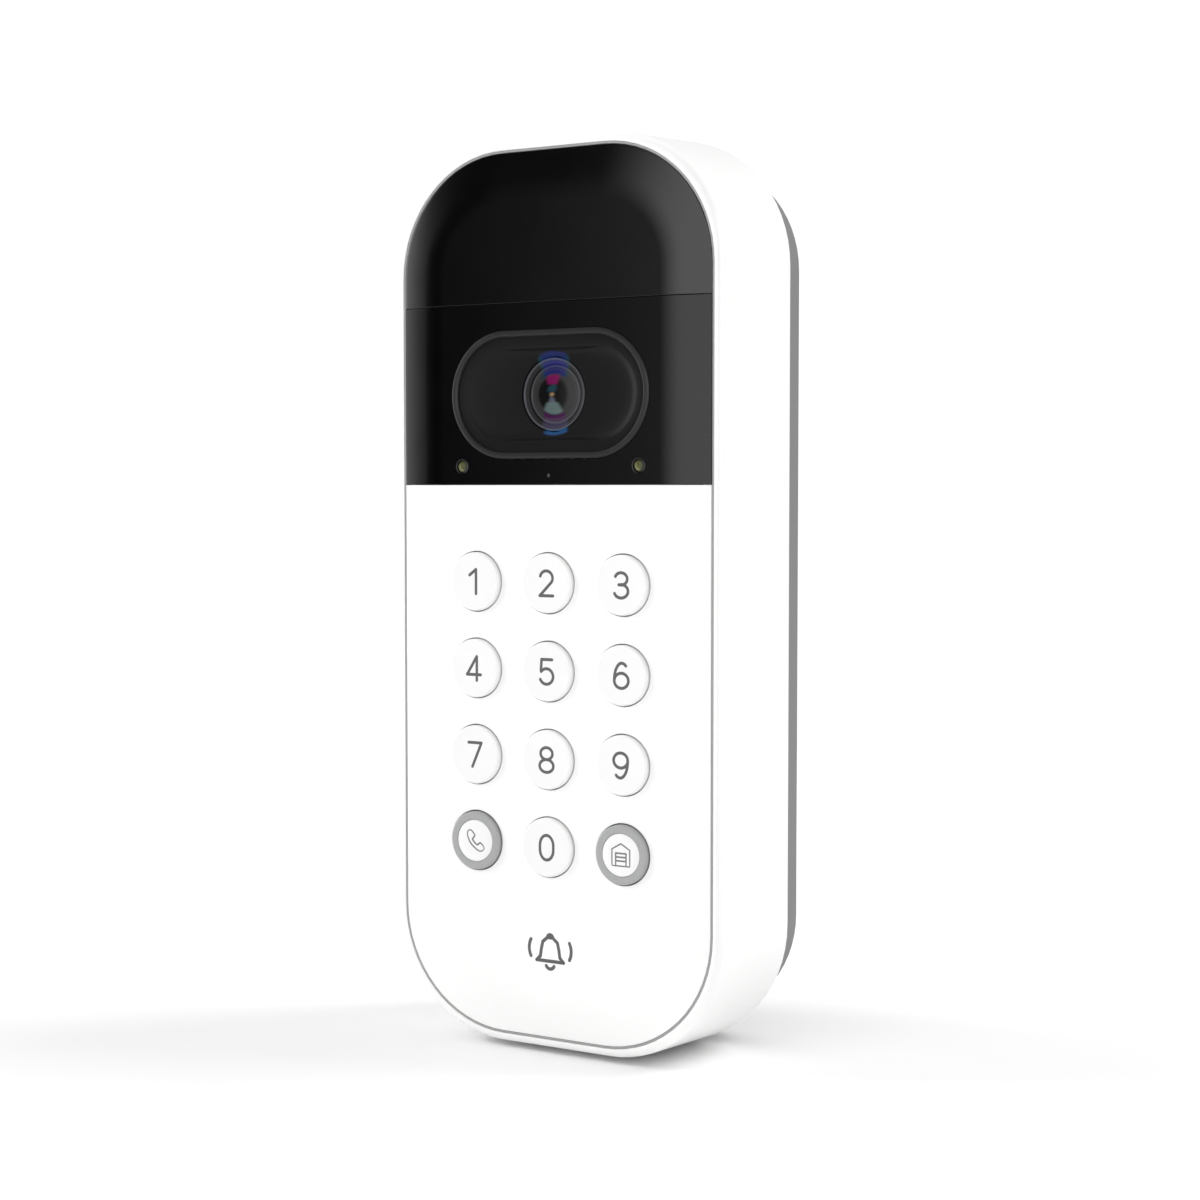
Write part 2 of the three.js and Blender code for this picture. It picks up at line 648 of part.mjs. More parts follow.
function batteryCase() {
  const { w, bottom, top, frontY, rearY } = BATTERY;
  const wall = CASE_WALL;
  const middle = (top + bottom) / 2;
  const outline = { w, h: (top - bottom) / 2, r: 2.5 };
  const body = plate(roundedRect(outline, 0, middle), rearY, frontY, 4);
  const hollow = block([-w + wall, frontY - 1, bottom + wall], [w - wall, rearY - wall, top - wall]);
  const grip = { radius: 3, halfLength: 9, out: 2.2 };
  const grips = [-1, 1].map((side) => {
    return pinZ(grip.radius, middle - grip.halfLength, middle + grip.halfLength, side * (w + grip.out), rearY);
  });
  return cut(body, hollow, ...grips);
}

function batteryLid() {
  const { w, bottom, top, frontY } = BATTERY;
  const inner = CASE_WALL + GAP;
  return block([-w + inner, frontY, bottom + inner], [w - inner, frontY + 0.8, top - inner]);
}

function batteryCell() {
  const top = 24.9;
  return join(pinZ(BATTERY.cell, -top, top), pinZ(3, top - 1, top + 0.9, 0, 0, 16));
}

function batteryPack() {
  const group = new THREE.Group();
  const y = BATTERY.rearY - CASE_WALL - GAP - BATTERY.cell;
  const z = (BATTERY.top + BATTERY.bottom) / 2;
  group.add(mesh('battery_case', batteryCase(), FINISH.blackMatt));
  group.add(mesh('battery_lid', batteryLid(), FINISH.blackMatt));
  group.add(mesh('battery_cell_left', batteryCell(), FINISH.cell, [-BATTERY.cell - 0.3, y, z]));
  group.add(mesh('battery_cell_right', batteryCell(), FINISH.cell, [BATTERY.cell + 0.3, y, z]));
  return group;
}

// ---------------------------------------------------------------- assembly

function housing() {
  const group = new THREE.Group();
  const sheet = frontSheet();
  group.add(mesh('main_housing', mainHousing(), FINISH.white));
  group.add(mesh('reveal_gasket', revealGasket(), FINISH.gasketGrey));
  group.add(mesh('keypad_panel', keypadPanel(sheet), FINISH.white));
  group.add(mesh('camera_window', cameraWindow(sheet), FINISH.blackGloss));
  group.add(mesh('sensor_window', sensorWindow(sheet), FINISH.blackGloss));
  group.add(mesh('inner_frame', innerFrame(), FINISH.blackMatt));
  group.add(mesh('rear_cover', rearCover(), FINISH.coverGrey));
  group.add(mesh('cover_seal', coverSeal(), FINISH.rubber));
  group.add(mesh('setup_button', setupButton(), FINISH.rubber, [0, 0, BUTTON.z]));
  fourCorners(BOSS.x, BOSS.z).forEach(([x, z], i) => {
    group.add(mesh(`case_screw_${i + 1}`, caseScrew(), FINISH.steel, [x, 0, z]));
  });
  return group;
}

const doorbell = new THREE.Group();
doorbell.add(mesh('wall_bracket', wallBracket(), FINISH.bracketGrey));
doorbell.add(mesh('locking_screw', lockingScrew(), FINISH.steel));
doorbell.add(housing(), keypad(), camera(), electronics(), batteryPack());

export default doorbell;
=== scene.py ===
import logging
import math
from dataclasses import dataclass, replace
from enum import Enum
from typing import Iterable, Sequence

import bmesh
import bpy
from mathutils import Matrix, Vector


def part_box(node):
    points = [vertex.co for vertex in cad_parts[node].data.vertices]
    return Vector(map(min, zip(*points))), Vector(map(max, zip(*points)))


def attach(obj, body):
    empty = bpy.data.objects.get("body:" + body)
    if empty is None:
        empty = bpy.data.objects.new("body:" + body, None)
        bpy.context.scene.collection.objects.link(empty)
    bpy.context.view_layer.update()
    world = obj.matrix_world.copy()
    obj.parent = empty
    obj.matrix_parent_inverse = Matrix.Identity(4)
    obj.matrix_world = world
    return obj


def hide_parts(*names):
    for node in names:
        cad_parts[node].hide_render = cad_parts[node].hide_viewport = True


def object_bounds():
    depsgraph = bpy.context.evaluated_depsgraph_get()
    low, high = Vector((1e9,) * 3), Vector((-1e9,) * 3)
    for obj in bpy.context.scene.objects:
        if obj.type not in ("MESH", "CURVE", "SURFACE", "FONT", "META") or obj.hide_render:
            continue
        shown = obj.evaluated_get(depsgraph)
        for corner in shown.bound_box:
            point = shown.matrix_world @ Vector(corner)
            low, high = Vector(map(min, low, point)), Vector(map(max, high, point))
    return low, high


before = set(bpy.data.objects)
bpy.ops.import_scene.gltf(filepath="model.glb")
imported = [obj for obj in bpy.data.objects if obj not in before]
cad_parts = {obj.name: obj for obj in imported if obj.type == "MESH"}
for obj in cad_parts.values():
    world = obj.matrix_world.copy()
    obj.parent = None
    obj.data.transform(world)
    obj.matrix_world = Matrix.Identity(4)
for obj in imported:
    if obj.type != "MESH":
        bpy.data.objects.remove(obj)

CAD_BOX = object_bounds()
MM = 0.001
UNIT = "door_unit"
BRACKET = "bracket"
BATTERY = "battery_pack"
SIDES = ("left", "right")
log = logging.getLogger("doorbell")

Colour = tuple[float, float, float]
Point2 = tuple[float, float]


def node_box(node: str) -> tuple[Vector, Vector]:
    """Gives a CAD node's lowest and highest corners in millimetres.

    Args:
        node: The CAD node's name.

    Returns:
        The two corners.
    """
    low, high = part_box(node)
    return low / MM, high / MM


def node_centre(node: str) -> Vector:
    """Gives the middle of a CAD node's box in millimetres."""
    low, high = node_box(node)
    return (low + high) / 2


# ---------------------------------------------------------------- shader expressions


class NodeTree:
    """A node tree of any kind, to which nodes are added in one way."""

    def __init__(self, tree: bpy.types.NodeTree) -> None:
        """Keeps the tree."""
        self.tree = tree

    def node(self, kind: str, settings: dict | None = None, inputs: dict | None = None) -> bpy.types.Node:
        """Adds a node, sets it up and then fills its sockets.

        Args:
            kind: The node's type.
            settings: Its settings, by attribute name.
            inputs: Values or links, by socket name or number.

        Returns:
            The node.
        """
        made = self.tree.nodes.new(kind)
        for key, setting in (settings or {}).items():
            setattr(made, key, setting)
        for key, given in (inputs or {}).items():
            self.feed(made.inputs[key], given)
        return made

    def feed(self, socket: bpy.types.NodeSocket, given: object) -> None:
        """Sets a socket's value, or links it.

        Args:
            socket: The input socket.
            given: A number, a tuple, a Value or an output socket.
        """
        if isinstance(given, Value):
            given = given.socket
        if isinstance(given, bpy.types.NodeSocket):
            self.tree.links.new(given, socket)
        else:
            socket.default_value = given

    def output(
        self, kind: str, settings: dict | None = None, inputs: dict | None = None
    ) -> bpy.types.NodeSocket:
        """Adds a node and gives its first output."""
        return self.node(kind, settings, inputs).outputs[0]


class Value:
    """A number socket of a shader that Python's arithmetic works on."""

    def __init__(self, graph: "Graph", socket: bpy.types.NodeSocket) -> None:
        """Wraps one output socket.

        Args:
            graph: The material's graph.
            socket: The output socket.
        """
        self.graph = graph
        self.socket = socket

    def maths(self, operation: str, *others: "Value | float") -> "Value":
        """Adds one Math node.

        Args:
            operation: The node's operation.
            others: The other operands, in order.

        Returns:
            The result.
        """
        inputs = dict(enumerate([self, *others]))
        return self.graph.value("ShaderNodeMath", {"operation": operation}, inputs)

    def __add__(self, other: "Value | float") -> "Value":
        """Adds."""
        return self.maths("ADD", other)

    __radd__ = __add__

    def __mul__(self, other: "Value | float") -> "Value":
        """Multiplies."""
        return self.maths("MULTIPLY", other)

    __rmul__ = __mul__

    def __sub__(self, other: "Value | float") -> "Value":
        """Subtracts."""
        return self.maths("SUBTRACT", other)

    def __rsub__(self, other: float) -> "Value":
        """Subtracts this from a number."""
        return self * -1.0 + other

    def __truediv__(self, other: "Value | float") -> "Value":
        """Divides."""
        return self.maths("DIVIDE", other)

    def step(self, low: float, high: float) -> "Value":
        """Rises smoothly from 0 at low to 1 at high; low may be the larger number.

        Args:
            low: Where it is 0.
            high: Where it is 1.

        Returns:
            The smooth step.
        """
        settings = {"interpolation_type": "SMOOTHSTEP"}
        inputs = {"Value": self, "From Min": low, "From Max": high}
        return self.graph.value("ShaderNodeMapRange", settings, inputs)

    def band(self, low: float, high: float, soft: float) -> "Value":
        """Is 1 between two values and fades out over a soft margin.

        Args:
            low: Lower end.
            high: Upper end.
            soft: Width of each margin.

        Returns:
            The mask.
        """
        return self.step(low - soft, low) * self.step(high + soft, high)


class Graph(NodeTree):
    """The node graph of a material or of the world."""

    def __init__(self, owner: bpy.types.Material | bpy.types.World | str) -> None:
        """Starts the graph.

        Args:
            owner: Whose graph it is; a name starts a new material.
        """
        self.owner = bpy.data.materials.new(owner) if isinstance(owner, str) else owner
        self.owner.use_nodes = True
        super().__init__(self.owner.node_tree)
        self.shader = self.tree.nodes.get("Principled BSDF") or self.tree.nodes["Background"]

    def value(self, kind: str, settings: dict | None = None, inputs: dict | None = None) -> Value:
        """Adds a node and wraps its first output."""
        return Value(self, self.output(kind, settings, inputs))

    def place(self, centre: Vector = Vector(), scale: float = 1.0) -> bpy.types.NodeSocket:
        """Gives object coordinates in millimetres about a centre.

        Args:
            centre: The centre in millimetres.
            scale: A further scale.

        Returns:
            The vector socket.
        """
        coords = self.node("ShaderNodeTexCoord").outputs["Object"]
        size = scale / MM
        inputs = {"Vector": coords, "Location": tuple(-centre * scale), "Scale": (size, size, size)}
        return self.output("ShaderNodeMapping", None, inputs)

    def axes(self, vector: bpy.types.NodeSocket) -> tuple[Value, Value, Value]:
        """Splits a vector into its three numbers."""
        split = self.node("ShaderNodeSeparateXYZ", None, {0: vector})
        return tuple(Value(self, out) for out in split.outputs)

    def around(self, centre: Vector) -> tuple[Value, Value, Value]:
        """Measures from an axis along Y.

        Args:
            centre: A point on the axis, in millimetres.

        Returns:
            The distance to the right of the axis, the distance above it and the distance from it.
        """
        x, _, z = self.axes(self.place(centre))
        return x, z, (x * x + z * z).maths("SQRT")

    def noise(self, vector: bpy.types.NodeSocket, scale: float, detail: float = 3.0) -> Value:
        """Gives noise from 0 to 1.

        Args:
            vector: Coordinates in millimetres.
            scale: Cycles for each millimetre.
            detail: Octaves.

        Returns:
            The noise.
        """
        return self.value("ShaderNodeTexNoise", None, {"Vector": vector, "Scale": scale, "Detail": detail})

    def blend(self, factor: Value, first: object, second: object) -> bpy.types.NodeSocket:
        """Mixes two colours.

        Args:
            factor: 0 for the first and 1 for the second.
            first: A colour or a socket.
            second: A colour or a socket.

        Returns:
            The mixed colour.
        """
        mixed = self.node("ShaderNodeMix", {"data_type": "RGBA"}, {"Factor": factor})
        for socket, given in ((mixed.inputs[6], first), (mixed.inputs[7], second)):
            self.feed(socket, (*given, 1.0) if isinstance(given, tuple) else given)
        return mixed.outputs[2]

    def bump(self, height: Value, depth: float, strength: float = 1.0) -> bpy.types.NodeSocket:
        """Makes a normal from a height.

        Args:
            height: The height, from 0 to 1.
            depth: What 1 stands for, in millimetres.
            strength: The share of the effect.

        Returns:
            The normal.
        """
        inputs = {"Height": height, "Distance": depth * MM, "Strength": strength}
        return self.output("ShaderNodeBump", None, inputs)

    def dress(self, **inputs: object) -> bpy.types.Material:
        """Feeds the shader and gives the graph's owner.

        Args:
            inputs: The shader's sockets by name, with underscores for spaces.

        Returns:
            The material.
        """
        for key, given in inputs.items():
            if isinstance(given, tuple) and len(given) == 3:
                given = (*given, 1.0)
            self.feed(self.shader.inputs[key.replace("_", " ")], given)
        return self.owner


# ---------------------------------------------------------------- finishes


@dataclass(frozen=True)
class MouldedPlastic:
    """A moulded plastic with a fine texture, faint flow marks and a slightly uneven gloss."""

    name: str
    colour: Colour
    roughness: float
    grain: float = 0.004
    grain_scale: float = 9.0
    mottle: float = 0.02
    specular: float = 0.5
    coat: float = 0.0

    def material(self) -> bpy.types.Material:
        """Builds the material.

        Returns:
            The material.
        """
        graph = Graph(self.name)
        place = graph.place()
        flow = graph.noise(place, 0.06, 2.0)
        skin = graph.noise(place, self.grain_scale, 4.0)
        darker = tuple(c * (1 - 2 * self.mottle) for c in self.colour)
        return graph.dress(
            Base_Color=graph.blend(flow, darker, self.colour),
            Roughness=flow * 0.06 + skin * 0.06 + (self.roughness - 0.06),
            Normal=graph.bump(skin, self.grain),
            Specular_IOR_Level=self.specular,
            Coat_Weight=self.coat,
            Coat_Roughness=0.05,
        )


@dataclass(frozen=True)
class GlossWindow:
    """An infrared-clear black window: polished, with a faint orange-peel and polishing haze."""

    name: str
    colour: Colour
    roughness: float
    specular: float

    def material(self) -> bpy.types.Material:
        """Builds the material.

        Returns:
            The material.
        """
        graph = Graph(self.name)
        place = graph.place()
        peel = graph.noise(place, 0.35, 2.0)
        haze = graph.noise(place, 0.09, 3.0)
        return graph.dress(
            Base_Color=graph.blend(haze, tuple(c * 0.8 for c in self.colour), self.colour),
            Roughness=haze * 0.05 + (self.roughness - 0.025),
            Normal=graph.bump(peel, 0.0015),
            Specular_IOR_Level=self.specular,
        )


@dataclass(frozen=True)
class ClearPart:
    """A clear or tinted polished part."""

    name: str
    colour: Colour
    roughness: float
    transmission: float
    ior: float = 1.5

    def material(self) -> bpy.types.Material:
        """Builds the material.

        Returns:
            The material.
        """
        graph = Graph(self.name)
        haze = graph.noise(graph.place(), 0.8, 3.0)
        return graph.dress(
            Base_Color=graph.blend(haze, tuple(c * 0.94 for c in self.colour), self.colour),
            Roughness=haze * 0.04 + self.roughness,
            Transmission_Weight=self.transmission,
            IOR=self.ior,
        )


@dataclass(frozen=True)
class PlatedMetal:
    """A plated or passivated metal with fine drawing marks along one axis."""

    name: str
    colour: Colour
    roughness: float

    def material(self) -> bpy.types.Material:
        """Builds the material.

        Returns:
            The material.
        """
        graph = Graph(self.name)
        place = graph.place()
        stretched = graph.output("ShaderNodeMapping", None, {"Vector": place, "Scale": (1.0, 1.0, 22.0)})
        lines = graph.noise(stretched, 0.6, 4.0)
        tarnish = graph.noise(place, 0.3, 3.0)
        return graph.dress(
            Base_Color=graph.blend(tarnish, tuple(c * 0.8 for c in self.colour), self.colour),
            Metallic=1.0,
            Roughness=lines * 0.16 + self.roughness,
            Normal=graph.bump(lines, 0.003),
        )


@dataclass(frozen=True)
class CircuitBoard:
    """A solder-masked board with traces on a fine grid and plated vias."""

    name: str
    colour: Colour
    trace: Colour = (0.05, 0.26, 0.09)
    pad: Colour = (0.72, 0.6, 0.3)

    def material(self) -> bpy.types.Material:
        """Builds the material.

        Returns:
            The material.
        """
        graph = Graph(self.name)
        place = graph.place()
        x, _, z = graph.axes(place)
        wander = graph.noise(place, 0.12, 1.0)
        lanes = (x * 1.6 + wander * 9.0).maths("FRACT").band(0.3, 0.62, 0.05)
        gates = (z * 0.21 + wander * 2.0).maths("FRACT").band(0.25, 0.8, 0.03)
        cell_x = (x * 0.4).maths("FRACT") - 0.5
        cell_z = (z * 0.4).maths("FRACT") - 0.5
        radius = (cell_x * cell_x + cell_z * cell_z).maths("SQRT")
        vias = radius.step(0.13, 0.1)
        mask = graph.blend(lanes * gates, self.colour, self.trace)
        return graph.dress(
            Base_Color=graph.blend(vias, mask, self.pad),
            Metallic=vias * 0.9,
            Roughness=0.42 - vias * 0.14,
            Normal=graph.bump(lanes * gates + vias, 0.03),
        )


@dataclass(frozen=True)
class PaintedReflectionPatch:
    """One soft painted reflection of a lens coating's colour, bounded by two radii and by two sloping sides.

    The patch is above the axis where way is 1 and below it where way is -1. A straight patch starts at
    a level edge instead of at a radius.
    """

    colour: Colour
    inner: float
    outer: float
    half_inner: float
    half_outer: float
    way: int = 1
    lean: float = 0.0
    straight: bool = False

    def mask(self, x: Value, z: Value, radius: Value) -> Value:
        """Gives where the patch is.

        Args:
            x: Distance to the right of the lens axis.
            z: Distance above it.
            radius: Distance from it.

        Returns:
            The mask.
        """
        flare = (self.half_outer - self.half_inner) / (self.outer - self.inner)
        height = z * float(self.way)
        half = (height - self.inner) * flare + self.half_inner
        beyond = (x - self.lean).maths("ABSOLUTE") - half
        start = (height if self.straight else radius).step(self.inner - 0.3, self.inner + 0.15)
        end = radius.step(self.outer + 0.25, self.outer - 0.2)
        return beyond.step(0.55, -0.5) * start * end * height.step(0, 0.3)


@dataclass(frozen=True)
class PaintedLensReflections:
    """Coated lens glass seen against a black barrel, with painted light: painted highlights on its fine
    lands, a painted grey sheen and painted patches of its coatings' coloured reflections, all given off as
    emission.

    Radii are in millimetres about the lens axis. The same painted reflections spill on to the black parts
    round it.
    """

    name: str
    centre: Vector
    base: Colour = (0.004, 0.004, 0.0045)
    roughness: float = 0.07
    specular: float = 0.12
    # Painted highlights along the lands: radius, width and brightness of each ring.
    lands: tuple = ((6.03, 0.16, 0.07), (4.8, 0.2, 0.045), (4.3, 0.08, 0.025), (3.45, 0.1, 0.018))
    core_lean: float = -0.35
    # Painted reflections: the coloured patches that the coatings reflect.
    reflection_patches: tuple[PaintedReflectionPatch, ...] = (
        PaintedReflectionPatch((0.005, 0.034, 0.05), 3.6, 7.1, 2.6, 3.3, 1, 0.0),
        PaintedReflectionPatch((0.006, 0.011, 0.09), 3.7, 7.3, 2.0, 2.75, 1, 0.0),
        PaintedReflectionPatch((0.013, 0.014, 0.11), 3.5, 5.8, 2.0, 2.5, 1, 0.0),
        PaintedReflectionPatch((0.16, 0.005, 0.075), 1.75, 3.4, 0.9, 1.45, 1, -0.3, True),
        PaintedReflectionPatch((0.01, 0.045, 0.062), 0.5, 1.6, 0.8, 1.0, 1, -0.45, True),
        PaintedReflectionPatch((0.1, 0.11, 0.135), 0.6, 2.0, 0.35, 0.9, -1, -0.35),
        PaintedReflectionPatch((0.095, 0.14, 0.135), 1.45, 3.45, 1.15, 2.3, -1, -0.3, True),
        PaintedReflectionPatch((0.045, 0.003, 0.05), 3.6, 4.65, 2.2, 2.5, -1, -0.1),
        PaintedReflectionPatch((0.036, 0.03, 0.064), 4.7, 5.9, 2.4, 2.7, -1),
        PaintedReflectionPatch((0.012, 0.065, 0.18), 6.15, 6.95, 2.2, 2.6, -1, 0.5),
    )

    def material(self) -> bpy.types.Material:
        """Builds the material.

        Returns:
            The material.
        """
        graph = Graph(self.name)
        x, z, radius = graph.around(self.centre)
        breakup = graph.noise(graph.place(self.centre), 0.5, 2.0)
        off = x - self.core_lean
        core = (off * off + z * z).maths("SQRT").step(3.5, 2.5)
        # Painted sheen: a grey glow over the glass round its dark core, fading to a faint glow elsewhere.
        sheen_ring = radius.band(2.0, 4.9, 0.3) * (1.0 - core) + radius.band(5.0, 6.0, 0.2) * 0.1
        painted_reflection = graph.blend(sheen_ring * (breakup * 0.4 + 0.7), (0.002, 0.002, 0.002), (0.031, 0.031, 0.0305))
        # Painted coloured reflections of the coatings.
        for tint in self.reflection_patches:
            patch = tint.mask(x, z, radius) * (breakup * 0.5 + 0.65)
            painted_reflection = graph.blend(patch.maths("MINIMUM", 1.0), painted_reflection, tint.colour)
        # Painted highlight rings on the lands.
        for land, width, level in self.lands:
            ring = radius.band(land - width / 2, land + width / 2, 0.14)
            painted_reflection = graph.blend(ring * (breakup * 0.4 + 0.3), painted_reflection, (level * 1.8, level * 1.8, level * 2.1))
        # A painted orange glint at the middle of the lens.
        painted_glint = (off * off * 0.4 + z * z).maths("SQRT").step(0.5, 0.05)
        painted_reflection = graph.blend(painted_glint * 0.8, painted_reflection, (0.33, 0.22, 0.11))
        return graph.dress(
            Base_Color=self.base,
            # The painted reflections are emitted, so glass, barrel and recess glow though none is a lamp.
            Emission_Color=painted_reflection,
            Emission_Strength=1.0,
            Roughness=self.roughness + breakup * 0.02,
            Specular_IOR_Level=self.specular,
        )


@dataclass(frozen=True)
class PhosphorLens:
    """A small clear light pipe over yellow phosphor, with a painted highlight at its lower left, painted
    shade on its right half and grey at its rim.
    """

    name: str
    centres: tuple[Vector, ...]
    radius: float
    lean: float = -0.13

    def material(self) -> bpy.types.Material:
        """Builds the material.

        Returns:
            The material.
        """
        graph = Graph(self.name)
        disc = painted_highlight = None
        for centre in self.centres:
            x, z, distance = graph.around(centre + Vector((self.lean, 0, 0)))
            # The phosphor disc, with painted shade that halves its colour on the right.
            inside = distance.step(self.radius * 0.92, self.radius * 0.62) * (x.step(1.2, 0.1) * 0.5 + 0.5)
            # Painted highlight at the lower left of each pipe.
            lit = inside * (x + z * 0.8).step(0.1, -0.6) * distance.step(0.1, 0.6)
            disc = inside if disc is None else disc + inside
            painted_highlight = lit if painted_highlight is None else painted_highlight + lit
        grain = graph.noise(graph.place(), 2.2, 3.0)
        colour = graph.blend(disc * (grain * 0.4 + 0.7), (0.018, 0.018, 0.0175), (0.085, 0.086, 0.03))
        colour = graph.blend(painted_highlight * (grain * 0.4 + 0.6), colour, (0.2, 0.2, 0.1))
        return graph.dress(
            Base_Color=colour,
            Roughness=grain * 0.05 + 0.3,
            Specular_IOR_Level=0.2,
        )


@dataclass(frozen=True)
class ShrinkFilm:
    """The printed shrink film round a battery cell, wrinkled at the ends, with a paler end ring."""

    name: str
    colour: Colour
    ends: tuple[float, float]

    def material(self) -> bpy.types.Material:
        """Builds the material.

        Returns:
            The material.
        """
        graph = Graph(self.name)
        place = graph.place()
        _, _, z = graph.axes(place)
        low, high = self.ends
        near_end = z.step(low + 2.2, low + 0.6) + z.step(high - 3.2, high - 1.6)
        wrinkle = graph.noise(place, 1.3, 4.0) * (near_end * 0.8 + 0.2)
        colour = graph.blend(near_end.maths("MINIMUM", 1.0), self.colour, (0.5, 0.52, 0.53))
        return graph.dress(
            Base_Color=colour,
            Roughness=0.28 + wrinkle * 0.1,
            Normal=graph.bump(wrinkle, 0.12),
        )


class Finish(Enum):
    """The finishes of the doorbell, by the record's material slots."""

    HOUSING = "housing_white"
    PANEL = "panel_white"
    KEY = "key_white"
    KEY_GREY = "key_grey"
    WINDOW = "window_black"
    BEZEL = "bezel_black"
    CAMERA = "camera_black"
    GASKET = "gasket_grey"
    SEAL = "seal_rubber"
    SILICONE = "mat_silicone"
    ACRYLIC = "clear_acrylic"
    GLASS = "lens_glass"
    PHOSPHOR = "led_phosphor"
    BRACKET = "bracket_grey"
    COVER = "cover_grey"
    INNER = "inner_black"
    BOARD = "board_green"
    FLEX = "flex_amber"
    CELL = "cell_wrap"
    SCREW = "screw_steel"
    TINNED = "tinned_steel"
    INK = "legend_ink"
    ICON_INK = "icon_ink"
    BARREL = "barrel_black"
    RECESS = "recess_black"
    SENSOR = "sensor_black"
    MESH = "mesh_grey"


class Palette:
    """Makes each finish once and hands it out."""

    def __init__(self) -> None:
        """Lists the recipes of all finishes."""
        lens_centre = node_centre("lens_barrel")
        leds = tuple(node_centre(f"led_lens_{side}") for side in SIDES)
        cell_low, cell_high = node_box("battery_cell_left")
        fine = {"grain": 0.002}
        coarse = {"grain": 0.02, "grain_scale": 4.0}
        self.recipes = {
            Finish.HOUSING: MouldedPlastic("housing_white", (0.9, 0.9, 0.895), 0.34, coat=0.12),
            Finish.PANEL: MouldedPlastic("panel_white", (0.91, 0.91, 0.905), 0.36, coat=0.1, **fine),
            Finish.KEY: MouldedPlastic("key_white", (0.835, 0.835, 0.833), 0.42, **fine),
            Finish.KEY_GREY: MouldedPlastic("key_grey", (0.355, 0.357, 0.36), 0.45, grain=0.003),
            Finish.WINDOW: GlossWindow("window_black", (0.0006, 0.0006, 0.00065), 0.16, 0.42),
            Finish.SENSOR: GlossWindow("sensor_black", (0.0006, 0.0006, 0.00065), 0.16, 0.58),
            Finish.BEZEL: MouldedPlastic("bezel_black", (0.01, 0.01, 0.0103), 0.46, specular=0.3, **fine),
            Finish.CAMERA: MouldedPlastic("camera_black", (0.008, 0.008, 0.0085), 0.42, specular=0.4),
            # The gasket's grey is partly painted shade of the joint.
            Finish.GASKET: MouldedPlastic("gasket_grey", (0.35, 0.35, 0.352), 0.6, grain=0.006),
            Finish.SEAL: MouldedPlastic("seal_rubber", (0.03, 0.03, 0.031), 0.75, 0.01, 5.0),
            Finish.SILICONE: MouldedPlastic("mat_silicone", (0.7, 0.71, 0.68), 0.6, grain=0.006, coat=0.05),
            Finish.ACRYLIC: ClearPart("clear_acrylic", (0.86, 0.9, 0.92), 0.05, 0.85),
            Finish.GLASS: PaintedLensReflections("lens_glass", lens_centre),
            # The barrel and the recess carry the lens's painted reflections too.
            Finish.BARREL: PaintedLensReflections("barrel_black", lens_centre, (0.008, 0.008, 0.0085), 0.4, 0.15),
            Finish.RECESS: PaintedLensReflections("recess_black", lens_centre, (0.004, 0.004, 0.0042), 0.38, 0.12),
            Finish.PHOSPHOR: PhosphorLens("led_phosphor", leds, 1.1),
            Finish.BRACKET: MouldedPlastic("bracket_grey", (0.195, 0.195, 0.197), 0.55, **coarse),
            Finish.COVER: MouldedPlastic("cover_grey", (0.46, 0.462, 0.466), 0.58, **coarse),
            Finish.INNER: MouldedPlastic("inner_black", (0.028, 0.028, 0.03), 0.55, **coarse),
            Finish.BOARD: CircuitBoard("board_green", (0.015, 0.12, 0.045)),
            Finish.FLEX: MouldedPlastic("flex_amber", (0.45, 0.17, 0.03), 0.3, coat=0.4),
            Finish.CELL: ShrinkFilm("cell_wrap", (0.03, 0.17, 0.3), (cell_low.z, cell_high.z)),
            Finish.SCREW: PlatedMetal("screw_steel", (0.6, 0.6, 0.61), 0.25),
            Finish.TINNED: PlatedMetal("tinned_steel", (0.68, 0.68, 0.66), 0.3),
            Finish.MESH: MouldedPlastic("mesh_grey", (0.055, 0.055, 0.056), 0.6, 0.02, 12.0),
            Finish.INK: MouldedPlastic("legend_ink", (0.095, 0.095, 0.097), 0.5, grain=0.001),
            Finish.ICON_INK: MouldedPlastic("icon_ink", (0.17, 0.17, 0.175), 0.5, grain=0.001),
        }
        self.made: dict[Finish, bpy.types.Material] = {}

    def __getitem__(self, finish: Finish) -> bpy.types.Material:
        """Gives the material of a finish, made on first use.

        Args:
            finish: The finish.

        Returns:
            Its material.
        """
        if finish not in self.made:
            self.made[finish] = self.recipes[finish].material()
        return self.made[finish]


# ---------------------------------------------------------------- outlines and meshes


@dataclass(frozen=True)
class Outline:
    """An upright rounded rectangle in the XZ plane, by half sizes and corner radius."""

    w: float
    h: float
    r: float
    x: float = 0.0
    z: float = 0.0

    def inset(self, d: float) -> "Outline":
        """Gives the parallel outline d further in."""
        return replace(self, w=self.w - d, h=self.h - d, r=max(self.r - d, 0.05))

    def mixed(self, other: "Outline", share: float) -> "Outline":
        """Goes part of the way to another outline.

        Args:
            other: The outline at share 1.
            share: How far to go.

        Returns:
            The outline between them.
        """
        pairs = ((getattr(self, k), getattr(other, k)) for k in ("w", "h", "r", "x", "z"))
        return Outline(*(a + (b - a) * share for a, b in pairs))

    def ring(self, y: float, steps: int = 16) -> list[Vector]:
        """Gives the outline's points at one depth.

        Args:
            y: The depth.
            steps: Facets for each corner.

        Returns:
            Points in order round the outline.
        """
        points = []
        for quarter, (sx, sz) in enumerate(((1, 1), (-1, 1), (-1, -1), (1, -1))):
            for i in range(steps + 1):
                angle = (quarter + i / steps) * math.pi / 2
                px = self.x + sx * (self.w - self.r) + self.r * math.cos(angle)
                pz = self.z + sz * (self.h - self.r) + self.r * math.sin(angle)
                points.append(Vector((px, y, pz)))
        return points


